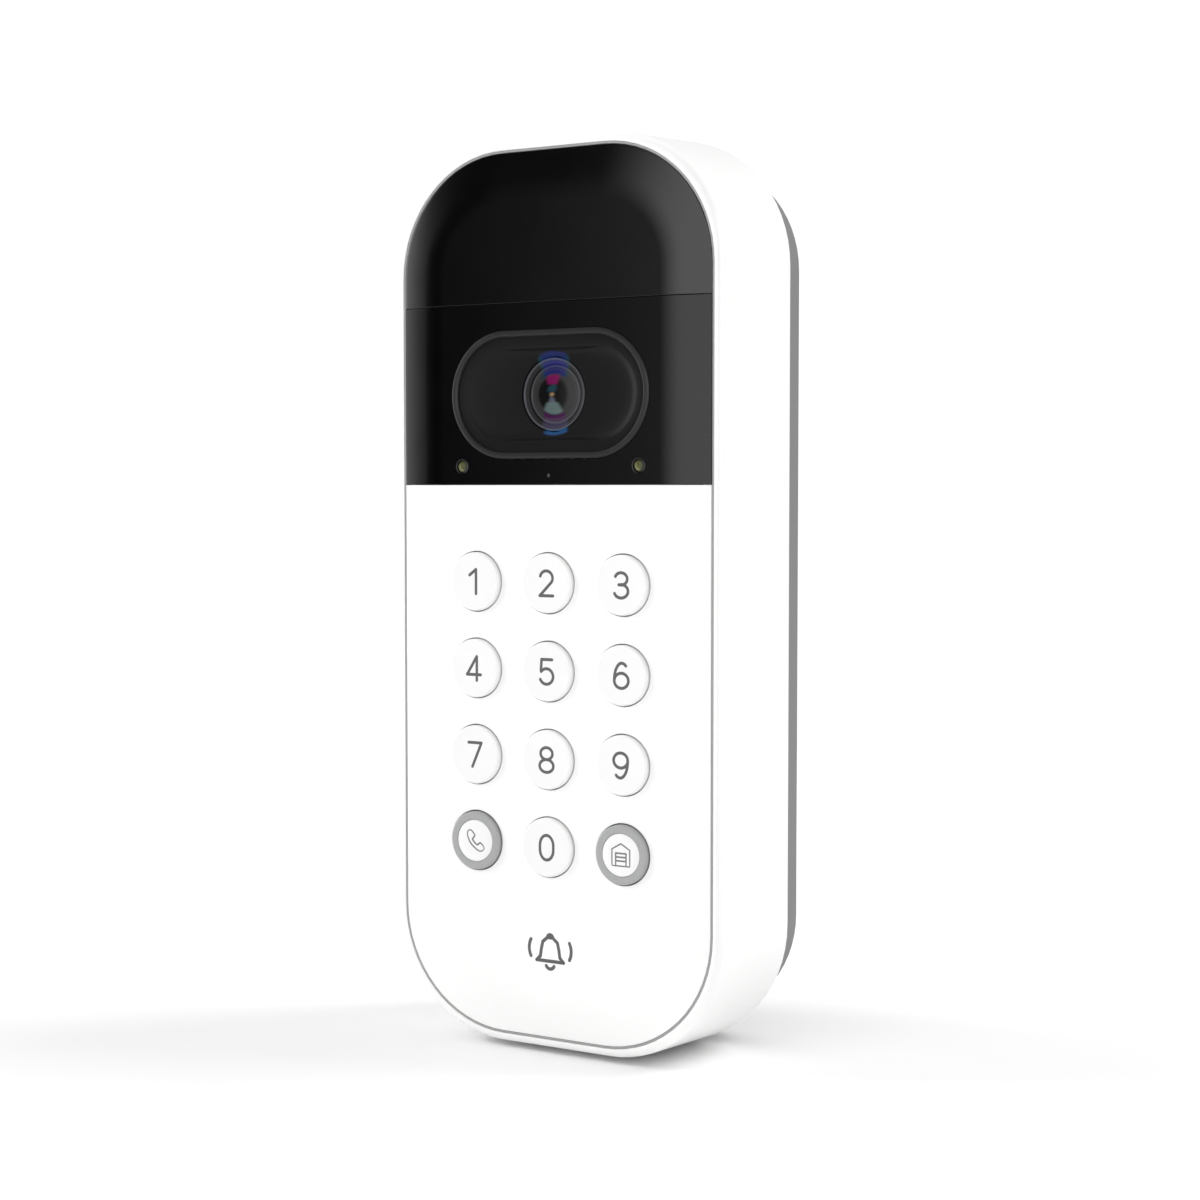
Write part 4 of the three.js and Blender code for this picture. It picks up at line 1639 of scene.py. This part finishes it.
def digit_strokes(digit: str) -> list[list[Point2]]:
    """Gives a digit's centre lines about its middle, in millimetres.

    Args:
        digit: The digit.

    Returns:
        Its strokes.
    """
    six = [
        arc((0.06, -0.86), (1.38, 1.27), 0, 360, 32),
        arc((0.2, -0.75), (1.52, 2.87), 180, 98, 12) + arc((0.1, 1.15), (1.0, 0.95), 88, 32, 5),
    ]
    zero = arc((0, 0.38), (1.36, 1.75), 0, 180, 18)
    strokes = {
        "1": [[(-1.05, 1.1), (0.3, 2.1), (0.3, -2.13)]],
        "2": [arc((0, 0.9), (1.27, 1.23), 165, -32, 18) + [(-1.32, -2.12), (1.36, -2.12)]],
        "3": [
            arc((0, 1.08), (1.2, 1.04), 158, -90, 18),
            arc((0, -0.99), (1.36, 1.13), 90, -160, 22),
            [(-0.45, 0.08), (0.05, 0.08)],
        ],
        "4": [[(0.42, -2.13), (0.42, 2.05), (-1.62, -1.12), (1.25, -1.12)]],
        "5": [[(1.15, 2.1), (-0.98, 2.1), (-1.12, 0.22)] + arc((0, -0.8), (1.36, 1.33), 142, -156, 24)],
        "6": six,
        "7": [[(-1.35, 2.08), (1.35, 2.08), (-0.55, -2.13)]],
        "8": [arc((0, 1.08), (1.2, 1.04), 0, 360, 30), arc((0, -1.04), (1.4, 1.1), 0, 360, 32)],
        "9": [[(-x, -z) for x, z in stroke] for stroke in six],
        "0": [zero + [(-x, -z) for x, z in zero] + zero[:1]],
    }
    return strokes[digit]


def handset_strokes() -> list[list[Point2]]:
    """Gives the outline of a telephone handset about its middle.

    Returns:
        Its strokes.
    """
    loop = [
        (-1.5, 1.45), (-1.1, 1.9), (-0.62, 1.72), (-0.1, 0.98), (-0.42, 0.42), (-0.5, 0.12), (0.28, -0.72),
        (0.62, -0.62), (1.02, -0.36), (1.66, -0.98), (1.7, -1.45), (1.2, -1.86), (0.45, -1.72), (-0.8, -0.65),
        (-1.42, 0.55),
    ]
    return [smooth_loop([(x * 1.08, z * 0.95) for x, z in loop])]


def garage_strokes() -> list[list[Point2]]:
    """Gives a garage with a sectional door about its middle.

    Returns:
        Its strokes.
    """
    walls = [(-1.75, -1.85), (-1.75, 0.95), (0, 1.95), (1.75, 0.95), (1.75, -1.85), (-1.75, -1.85)]
    door = [(-1.02, -1.8), (-1.02, 0.3), (1.02, 0.3), (1.02, -1.8)]
    slats = [[(-1.02, z), (1.02, z)] for z in (-0.35, -1.0)]
    return [walls, door, *slats]


def bell_strokes() -> list[list[Point2]]:
    """Gives a plain bell between two sound arcs about its middle.

    Returns:
        Its strokes.
    """
    right = [(0.55, 2.35), (1.5, 1.55), (1.8, 0.3), (2.0, -1.0), (2.75, -1.75)]
    outline = [(-x, z) for x, z in reversed(right)] + right
    bell = outline + [(-2.75, -1.75)]
    sounds = [arc((way * 1.2, 0.3), (3.1, 3.1), 90 - way * 62, 90 - way * 118, 8) for way in (-1, 1)]
    return [bell, arc((0, -2.3), (0.85, 0.8), 200, 340, 8), arc((0, 2.35), (0.55, 0.5), 180, 0, 8), *sounds]


@dataclass
class Keypad:
    """Twelve round keys with printed legends and the generic mark below them."""

    bench: Bench
    stroke: float = 0.54
    icon_stroke: float = 0.3
    mark_stroke: float = 0.62
    mark_drop: float = 18.0
    dish: float = 0.08
    film: float = 0.02
    edge_round: float = 0.42
    flange: Point2 = (6.35, 0.75)
    hollow: Point2 = (3.5, 1.4)

    def build(self) -> None:
        """Builds the keys, their legends and the mark."""
        self.ink = ink_recipe(self.bench.palette[Finish.INK])
        self.icon_ink = ink_recipe(self.bench.palette[Finish.ICON_INK])
        low, _ = node_box("key_1")
        self.top = low.y + self.film
        for digit in DIGITS:
            self.digit_key(digit)
        self.function_key("call", handset_strokes())
        self.function_key("garage", garage_strokes())
        self.mark()
        self.bench.dress(Finish.SILICONE, "keypad_mat")
        self.bench.dress(Finish.ACRYLIC, "light_guide")

    def key_side(self, back: float) -> list[Point2]:
        """Gives a key's profile from the rim of its face to the middle of its hollow back.

        Args:
            back: Depth of its rear edge.

        Returns:
            Pairs of radius and depth.
        """
        r, (flange, thickness), (hollow, depth) = self.edge_round, self.flange, self.hollow
        edge = arc((KEY_RADIUS - r, self.top + r), (r, r), 270, 360, 8)
        edge += [(KEY_RADIUS, back - thickness), (flange, back - thickness), (flange, back)]
        return edge + [(hollow, back), (hollow, back - depth), (0, back - depth)]

    def digit_key(self, digit: str) -> None:
        """Builds one digit key with its legend.

        Args:
            digit: The digit.
        """
        node = f"key_{digit}"
        body = f"key_{digit}_body"
        centre = node_centre(node)
        shares = (0, 0.12, 0.25, 0.38, 0.5, 0.6, 0.7, 0.8, 0.88)
        face = [(KEY_RADIUS * t, self.top + self.dish * (1 - t * t)) for t in shares]
        cap = Body().turn(face + self.key_side(node_box(node)[1].y), centre, 72)
        self.bench.add(cap, f"key_cap_{digit}", body, Finish.KEY, 35, node)
        strokes = digit_strokes(digit)
        legend = self.printed(f"legend_{digit}", strokes, centre, self.top, self.ink, self.stroke)
        for vertex in legend.data.vertices:
            out = Vector((vertex.co.x / MM - centre.x, vertex.co.z / MM - centre.z)).length / KEY_RADIUS
            vertex.co.y += self.dish * (1 - out * out) * MM
        self.bench.fit(legend, body, Finish.INK)

    def function_key(self, name: str, strokes: list[list[Point2]]) -> None:
        """Builds a grey ringed key with a white centre and an icon.

        Args:
            name: The key's name.
            strokes: The icon's strokes.
        """
        ring_node, disc_node = f"{name}_key_ring", f"{name}_key_disc"
        body = f"{name}_key_body"
        centre = node_centre(ring_node)
        disc_high = node_box(disc_node)[1]
        radius = disc_high.x - centre.x + 0.2
        top, seat = self.top, disc_high.y + 0.1
        profile = [(0, seat), (radius, seat), (radius, top + 0.08), (radius + 0.08, top)]
        ring = Body().turn(profile + self.key_side(node_box(ring_node)[1].y), centre, 72)
        self.bench.add(ring, f"{name}_ring", body, Finish.KEY_GREY, 35, ring_node)
        edge = radius - 0.05
        profile = [(0, top + 0.06), (edge * 0.6, top + 0.04), (edge - 0.12, top + 0.02)]
        profile += [(edge - 0.03, top + 0.06), (edge, top + 0.14), (edge, seat - 0.05), (0, seat - 0.05)]
        self.bench.add(Body().turn(profile, centre, 64), f"{name}_disc", body, Finish.KEY, 35, disc_node)
        icon = self.printed(f"{name}_icon", strokes, centre, top + 0.05, self.icon_ink, self.icon_stroke)
        self.bench.fit(icon, body, Finish.ICON_INK)

    def printed(
        self,
        name: str,
        strokes: list[list[Point2]],
        centre: Vector,
        plane: float,
        recipe: Recipe,
        width: float,
    ) -> bpy.types.Object:
        """Prints strokes about a centre.

        Args:
            name: The print's name.
            strokes: The centre lines.
            centre: Their middle.
            plane: Depth of the printed face.
            recipe: The ink recipe.
            width: Stroke width in millimetres.

        Returns:
            The print.
        """
        runs = [run for stroke in strokes for run in split_at_corners(stroke)]
        paths = [[Vector((centre.x + p.x, plane, centre.z + p.y)) for p in run] for run in runs]
        base = paths_mesh(name, paths)
        sizes = {"Stroke": width * MM, "Film": 2 * self.film / width, "Plane": plane * MM}
        return recipe.grow(name, base, sizes, 60)

    def mark(self) -> None:
        """Prints the plain bell pictogram under the keys."""
        panel_low, _ = node_box("keypad_panel")
        centre = Vector((0.3, 0, node_centre("key_0").z - self.mark_drop))
        made = self.printed("bell_mark", bell_strokes(), centre, panel_low.y, self.ink, self.mark_stroke)
        self.bench.fit(made, UNIT, Finish.INK)


# ---------------------------------------------------------------- camera


@dataclass
class CameraEye:
    """The oval bezel, its dished recess, the lens barrel with its lands and the coated glass."""

    bench: Bench
    bead: float = 0.62
    floor_edge: Point2 = (17.15, 8.0)
    throat_gap: float = 0.2
    barrel_steps: tuple[Point2, ...] = (
        (5.35, 0.5),
        (5.25, 0.9),
        (4.95, 0.95),
        (4.79, 0.75),
        (4.62, 0.8),
        (4.5, 1.25),
        (3.75, 2.2),
        (3.55, 2.25),
        (3.5, 3.0),
    )
    glass_radius: float = 5.2
    glass_bulge: float = 0.66

    def build(self) -> None:
        """Builds the camera's visible pieces and dresses the rest."""
        low, high = node_box("camera_bezel")
        self.centre = (low + high) / 2
        half = (high.z - low.z) / 2
        self.oval = Outline(high.x, half, half - 0.01, 0, self.centre.z)
        self.bezel(low.y)
        self.dish(low.y)
        self.barrel()
        self.glass()
        self.bench.dress(Finish.CAMERA, "lens_holder")
        self.bench.dress(Finish.GLASS, "rear_lens")
        self.bench.dress(Finish.BOARD, "camera_board")
        self.bench.dress(Finish.TINNED, "image_sensor")
        self.bench.dress(Finish.FLEX, "camera_flex")

    def bezel(self, top: float) -> None:
        """Builds the raised ring as a bead along the oval.

        Args:
            top: Depth of its crest.
        """
        path = self.oval.inset(self.bead).ring(top + self.bead, 32)
        recipe = bead_recipe(self.bench.palette[Finish.BEZEL])
        base = paths_mesh("bezel_path", [path], closed=True)
        made = recipe.grow("camera_ring", base, {"Radius": self.bead * MM, "Flatness": 1.0, "Plane": 0.0}, 80)
        self.bench.fit(made, UNIT, Finish.BEZEL, "camera_bezel")

    def dish(self, top: float) -> None:
        """Builds the recess: a sloping collar, a soft edge and a floor that sinks to the barrel.

        Args:
            top: Depth of the bezel's crest.
        """
        collar = self.oval.inset(2 * self.bead - 0.25)
        half_width, half_height = self.floor_edge
        edge = Outline(half_width, half_height, half_height - 0.01, 0, self.centre.z)
        hole = node_box("lens_barrel")[1].x + self.throat_gap
        throat = Outline(hole, hole, hole - 0.001, 0, self.centre.z)
        collar_y, edge_y, floor_y = top + 0.75, top + 0.95, top + 2.15
        stops = [(collar, collar_y), (collar.mixed(edge, 0.9), edge_y - 0.08)]
        stops += [(edge, edge_y), (edge.inset(0.15), edge_y + 0.12)]
        for i in range(1, 11):
            t = i / 10
            drop = edge_y + 0.12 + (floor_y - edge_y - 0.12) * math.sin(t * math.pi / 2) ** 0.8
            stops.append((edge.inset(0.15).mixed(throat, t), drop))
        back = top + 3.2
        rings = [outline.ring(y, 24) for outline, y in stops]
        rings += [throat.ring(back, 24), collar.ring(back, 24)]
        recess = Body().skin(rings, loop=True)
        self.bench.add(recess, "camera_recess", UNIT, Finish.RECESS, 40, "camera_dish")

    def barrel(self) -> None:
        """Builds the stepped barrel and the fine lands inside it."""
        low, high = node_box("lens_barrel")
        outer, front = high.x, low.y
        profile = [(outer, high.y), (outer, front + 0.15), (outer - 0.12, front), (outer - 0.3, front)]
        profile.append((outer - 0.42, front + 0.25))
        profile += [(radius, front + depth) for radius, depth in self.barrel_steps]
        profile.append((self.barrel_steps[-1][0], high.y))
        tube = Body().turn(profile, self.centre, 72)
        self.bench.add(tube, "lens_tube", UNIT, Finish.BARREL, 32, "lens_barrel", "lens_retaining_ring")
        recipe = ring_stack_recipe(self.bench.palette[Finish.BARREL])
        start = Vector((self.centre.x, front + 1.35, self.centre.z))
        sizes = {"Radius": 4.4, "Shrink": 0.22, "Pitch": 0.27, "Thickness": 0.05}
        sizes = {"Count": 3, **{name: size * MM for name, size in sizes.items()}}
        lands = recipe.grow("lens_lands", paths_mesh("land_points", [[start]]), sizes, 80)
        self.bench.fit(lands, UNIT, Finish.BARREL)

    def glass(self) -> None:
        """Builds the front element as a shallow dome that fills the barrel."""
        front = node_box("lens_barrel")[0].y
        rim, back = front + 0.64, front + 0.85
        shares = (0, 0.2, 0.4, 0.6, 0.8, 0.9, 1)
        profile = [(self.glass_radius * t, rim - self.glass_bulge * (1 - t * t)) for t in shares]
        profile += [(self.glass_radius, back), (0, back)]
        dome = Body().turn(profile, self.centre, 64)
        self.bench.add(dome, "lens_dome", UNIT, Finish.GLASS, 60, "front_lens")


# ---------------------------------------------------------------- lights and electronics


@dataclass
class Electronics:
    """The light pipes in the window and the boards and parts behind it."""

    bench: Bench
    pipe_radius: float = 1.1
    foot_radius: float = 1.9
    foot_height: float = 0.9

    def build(self) -> None:
        """Builds the light pipes and dresses the boards and their parts."""
        for side in SIDES:
            self.light_pipe(side)
        self.microphone_port()
        self.bench.dress(Finish.BOARD, "front_board", "main_board", "keypad_board")
        self.bench.dress(Finish.TINNED, "microphone", "pir_sensor", "shield_can")
        self.bench.dress(Finish.PHOSPHOR, "led_chip_left", "led_chip_right")
        self.bench.dress(Finish.SILICONE, "pir_lens")
        self.bench.dress(Finish.FLEX, "wifi_antenna")
        self.bench.dress(Finish.INNER, "speaker", "battery_contacts", "inner_frame")
        self.bench.dress(Finish.SEAL, "cover_seal")

    def light_pipe(self, side: str) -> None:
        """Builds one light pipe with a domed end; its part is clear, but it looks like the phosphor behind.

        Args:
            side: left or right.
        """
        node = f"led_lens_{side}"
        low, high = node_box(node)
        pipe, foot, shoulder = self.pipe_radius, self.foot_radius, high.y - self.foot_height
        profile = [(pipe * t, low.y + 0.3 * t * t) for t in (0, 0.3, 0.55, 0.75, 0.9, 1)]
        profile += [(pipe, shoulder), (foot, shoulder), (foot, high.y), (0, high.y)]
        body = Body().turn(profile, node_centre(node), 40)
        made = self.bench.piece(body, f"light_pipe_{side}", Finish.PHOSPHOR, 35)
        self.bench.fit(made, UNIT, Finish.ACRYLIC, node)

    def microphone_port(self) -> None:
        """Builds the pale tear-shaped mesh in the microphone hole."""
        centre = node_centre("microphone")
        front = node_box("camera_window")[0].y
        tear = arc((0, -0.1), (0.26, 0.3), 0, 180, 10) + [(-0.15, -0.42), (0, -0.56), (0.15, -0.42)]
        tear = [(centre.x + x, centre.z + 0.15 + z) for x, z in tear]
        rings = [[Vector((x, y, z)) for x, z in tear] for y in (front + 0.12, front + 1)]
        self.bench.add(Body().skin(rings), "microphone_mesh", UNIT, Finish.MESH, 40)


# ---------------------------------------------------------------- bracket, cover and battery


@dataclass
class WallBracket:
    """The grey tray on the wall with its slots, hook bars and locking screw."""

    bench: Bench
    corner: float = 19.8
    wall: float = 1.8
    edge_round: float = 0.8
    bar_tops: Point2 = (46.0, -34.0)
    bar_height: float = 3.5
    bar_start: float = 22.1
    bar_depths: Point2 = (-6.8, -4.9)
    lift: float = 6.0
    window_gap: float = 0.5
    screw_places: tuple[Point2, ...] = ((0, 62), (22, 8), (-22, 8), (24.5, -56), (-24.5, -56))
    screw_head: float = 0.85

    def build(self) -> None:
        """Builds the tray and the screw."""
        low, high = node_box("wall_bracket")
        outline = Outline(high.x, high.z, self.corner)
        corner = quarter_round(self.edge_round, 5)
        rings = [outline.inset(inset).ring(high.y - drop) for inset, drop in corner]
        inner = outline.inset(self.wall)
        rings += [outline.ring(low.y + 0.15), outline.inset(0.15).ring(low.y), inner.inset(-0.15).ring(low.y)]
        rings += [inner.ring(low.y + 0.15), inner.ring(high.y - self.wall)]
        body = Body().skin(rings)
        for side in (-1, 1):
            for top in self.bar_tops:
                self.hook_bar(body, side, top, outline.w)
        tray = self.bench.piece(body, "bracket_tray", Finish.BRACKET)
        carve(tray, [self.battery_window(high.y), self.screw_slots()], 30)
        self.bench.fit(tray, BRACKET, Finish.BRACKET, "wall_bracket")
        self.locking_screw()

    def hook_bar(self, body: Body, side: int, top: float, outer: float) -> None:
        """Adds one bar for a hook, let into the rim.

        Args:
            body: The tray.
            side: 1 or -1.
            top: Height of its upper edge.
            outer: Half width of the tray.
        """
        left, right = sorted((side * self.bar_start, side * (outer - 1)))
        front, rear = self.bar_depths
        body.block((left, front, top - self.bar_height), (right, rear, top))

    def battery_window(self, wall_y: float) -> bpy.types.Object:
        """Makes the cutter of the window that the battery pack passes.

        Args:
            wall_y: Depth of the bracket's wall face.

        Returns:
            The cutter.
        """
        low, high = node_box("battery_case")
        top, gap = high.z + self.lift, self.window_gap
        window = Outline(high.x + gap, (top - low.z) / 2 + gap, 1.5, 0, (top + low.z) / 2)
        rings = [window.ring(y, 6) for y in (-3, wall_y + 1)]
        return self.bench.piece(Body().skin(rings), "window_cutter", Finish.BRACKET)

    def screw_slots(self) -> bpy.types.Object:
        """Makes the cutters of the five wall-screw slots, one run of Geometry Nodes for all.

        Returns:
            The cutters as one object.
        """
        recipe = rounded_slot_recipe(self.bench.palette[Finish.BRACKET])
        base = paths_mesh("slot_points", [[Vector((x, 1, z))] for x, z in self.screw_places])
        sizes = {"Width": 0.0039, "Length": 0.008, "Depth": 0.004, "Turn": (math.pi / 2, 0, 0)}
        return recipe.grow("slot_cutters", base, sizes)

    def locking_screw(self) -> None:
        """Builds the locking screw, which drives in from below."""
        low, high = node_box("locking_screw")
        centre = (low + high) / 2
        recipe = screw_recipe(self.bench.palette[Finish.SCREW])
        base = paths_mesh("locking_point", [[Vector((centre.x, centre.y, low.z + self.screw_head))]])
        sizes = {"Head Radius": 2.8 * MM, "Head Height": 1.7 * MM, "Shank Radius": 1.4 * MM}
        sizes |= {"Shank Length": (high.z - low.z - self.screw_head) * MM, "Turn": (math.pi, 0, 0)}
        made = recipe.grow("locking_screw_steel", base, sizes)
        self.bench.fit(made, BRACKET, Finish.SCREW, "locking_screw")


@dataclass
class RearCover:
    """The rear cover with its battery bay, the four case screws and the setup button."""

    bench: Bench
    head_height: float = 0.6
    head_radius: float = 2.5
    shank_radius: float = 1.05
    button_radius: float = 2.9
    button_foot: Point2 = (4.2, 0.8)

    def build(self) -> None:
        """Dresses the cover and builds its screws and button."""
        self.bench.dress(Finish.COVER, "rear_cover")
        nodes = [f"case_screw_{i}" for i in range(1, 5)]
        low, high = node_box(nodes[0])
        seat = high.y - self.head_height / 2
        recipe = screw_recipe(self.bench.palette[Finish.SCREW])
        points = [Vector((c.x, seat, c.z)) for c in map(node_centre, nodes)]
        sizes = {"Head Radius": self.head_radius * MM, "Head Height": self.head_height * MM}
        sizes |= {"Shank Radius": self.shank_radius * MM, "Shank Length": (seat - low.y) * MM}
        sizes["Turn"] = (-math.pi / 2, 0, 0)
        made = recipe.grow("case_screws_steel", paths_mesh("screw_points", [[p] for p in points]), sizes)
        self.bench.fit(made, UNIT, Finish.SCREW, *nodes)
        self.button()

    def button(self) -> None:
        """Builds the domed setup button."""
        low, high = node_box("setup_button")
        radius, (foot, thickness) = self.button_radius, self.button_foot
        shoulder = low.y + thickness
        profile = [(radius * t, high.y - 0.25 * t * t) for t in (0, 0.3, 0.6, 0.8)]
        profile += [(radius - 0.15, high.y - 0.3), (radius, high.y - 0.6), (radius, shoulder)]
        profile += [(foot, shoulder), (foot, low.y), (0, low.y)]
        body = Body().turn(profile, node_centre("setup_button"), 40)
        self.bench.add(body, "setup_button_cap", "setup_button_body", Finish.SEAL, 35, "setup_button")


@dataclass
class BatteryPack:
    """The battery pack: a case with finger grips, its lid and two wrapped cells."""

    bench: Bench
    corner: float = 2.5
    wall: float = 0.9
    grip_radius: float = 3.0
    grip_reach: float = 2.2
    grip_half: float = 9.0

    def build(self) -> None:
        """Builds the case and dresses the lid and the cells."""
        low, high = node_box("battery_case")
        middle = (low + high) / 2
        outline = Outline(high.x, (high.z - low.z) / 2, self.corner, 0, middle.z)
        inner = outline.inset(self.wall)
        rings = [outline.inset(0.5).ring(high.y, 8), outline.inset(0.15).ring(high.y - 0.15, 8)]
        rings += [outline.ring(high.y - 0.5, 8), outline.ring(low.y, 8), inner.ring(low.y, 8)]
        rings.append(inner.ring(high.y - self.wall, 8))
        case = self.bench.piece(Body().skin(rings), "battery_shell", Finish.INNER)
        carve(case, self.grips(high, middle), 30)
        self.bench.fit(case, BATTERY, Finish.INNER, "battery_case")
        self.bench.dress(Finish.INNER, "battery_lid")
        self.bench.dress(Finish.CELL, "battery_cell_left", "battery_cell_right")

    def grips(self, high: Vector, middle: Vector) -> list[bpy.types.Object]:
        """Makes the cutters of the two finger grips.

        Args:
            high: The case's highest corner.
            middle: The case's middle.

        Returns:
            The cutters.
        """
        cutters = []
        for side in (-1, 1):
            axis = side * (high.x + self.grip_reach)
            round_grip = [(axis + x, high.y + y) for x, y in circle(self.grip_radius, 32)]
            heights = (middle.z - self.grip_half, middle.z + self.grip_half)
            body = Body().skin([[Vector((x, y, z)) for x, y in round_grip] for z in heights])
            cutters.append(self.bench.piece(body, "grip_cutter", Finish.INNER))
        return cutters


# ---------------------------------------------------------------- studio


@dataclass
class Studio:
    """The pale floor, the soft lights and the camera."""

    eye: tuple[float, float, float] = (0.20665, -0.35049, 0.01876)
    heading: float = 31.73
    dip: float = 2.887
    lens: float = 66.58
    floor_radius: float = 0.42
    screen_right: Point2 = (37.0, 8.0)
    screen_left: Point2 = (57.0, 63.0)
    screen_dim: float = 0.006
    ambient: float = 0.68
    band_right: float = 1.9
    band_left: float = 3.3
    rim_level: float = 3.0
    lights: tuple[tuple[str, tuple[float, float, float], float, float], ...] = (
        ("key", (-1.05, -0.5, 0.72), 0.4, 6.4),
        ("fill", (-0.45, -1.25, 0.06), 0.5, 0.8),
        ("back", (0.85, 0.6, 1.0), 0.7, 11.0),
    )

    def build(self) -> None:
        """Builds the camera, the floor, the surroundings and the lights."""
        bpy.context.scene.view_settings.view_transform = "Standard"
        camera = bpy.data.cameras.new("view")
        camera.lens = self.lens
        camera.sensor_width = 36.0
        holder = show("view", camera)
        holder.location = self.eye
        holder.rotation_euler = (math.radians(90 - self.dip), 0, math.radians(self.heading))
        bpy.context.scene.camera = holder
        self.floor()
        self.surroundings()
        for light in self.lights:
            self.softbox(*light)

    def floor(self) -> None:
        """Builds the pale floor at the object's lowest point, with painted light: it glows more the further
        it lies from the object, so its far part fades into the backdrop.
        """
        level = CAD_BOX[0].z / MM
        body = Body()
        rim = [body.bm.verts.new((x / MM, y / MM, level)) for x, y in circle(self.floor_radius, 96)]
        body.bm.faces.new(rim)
        graph = Graph("floor_white")
        place = graph.place()
        x, y, _ = graph.axes(place)
        far_floor_glow = (x * x + y * y).maths("SQRT").step(80, 240)
        speck = graph.noise(place, 0.02, 2.0)
        material = graph.dress(
            Base_Color=graph.blend(speck, (0.92, 0.92, 0.92), (0.94, 0.94, 0.94)),
            Roughness=0.9,
            Specular_IOR_Level=0.1,
            # Painted light: an emitted glow that rises from 80 to 240 mm out.
            Emission_Color=graph.blend(far_floor_glow, (0.0, 0.0, 0.0), (0.16, 0.16, 0.16)),
            Emission_Strength=1.0,
        )
        body.object("floor", material)

    def surroundings(self) -> None:
        """Makes a white room with a dark upright screen on the visitor's left, as in a product studio.

        The screen shows only in reflections; the room beside it is brighter on its right.
        """
        world = bpy.data.worlds.new("room")
        bpy.context.scene.world = world
        graph = Graph(world)
        x, y, z = graph.axes(graph.node("ShaderNodeTexCoord").outputs["Generated"])
        heading = (x * -1.0).maths("ARCTAN2", y * -1.0) * math.degrees(1)
        right = heading.step(*self.screen_right)
        left = heading.step(*self.screen_left)
        panel_right = right - heading.step(-8, -28)
        panel_left = left - heading.step(72, 95)
        window = z.band(-0.22, 0.45, 0.12)
        panels = panel_right * (self.band_right - self.ambient) + panel_left * (self.band_left - self.ambient)
        high = z.step(0.5, 0.8)
        room = (right + left).maths("MAXIMUM", high) * self.ambient
        shade = room + panels * window + self.screen_dim
        path = graph.node("ShaderNodeLightPath").outputs
        rim = heading.band(-80, -42, 10) * window * Value(graph, path["Is Glossy Ray"]) * self.rim_level
        seen = Value(graph, path["Is Camera Ray"])
        strength = (shade + rim) * (1.0 - seen) + seen * 1.06
        graph.dress(Color=(1.0, 1.0, 1.0), Strength=strength)

    def softbox(self, name: str, place: Sequence[float], size: float, power: float) -> None:
        """Adds a soft area light aimed at the object, unseen in reflections.

        Args:
            name: Its name.
            place: Where it stands.
            size: Its side in metres.
            power: Its power in watts.
        """
        light = bpy.data.lights.new(name, "AREA")
        light.size = size
        light.energy = power
        holder = show(name, light)
        holder.location = place
        holder.rotation_euler = Vector(place).to_track_quat("Z", "Y").to_euler()
        holder.visible_glossy = False


def main() -> None:
    """Builds the doorbell and its studio."""
    logging.basicConfig(level=logging.INFO, format="%(message)s")
    Studio().build()
    bench = Bench(Palette())
    front = (HousingShell, FrontPanels, Keypad, CameraEye, Electronics)
    for assembly in (*front, WallBracket, RearCover, BatteryPack):
        assembly(bench).build()
    log.info("%d pieces made", bench.count)


if __name__ == "__main__":
    main()
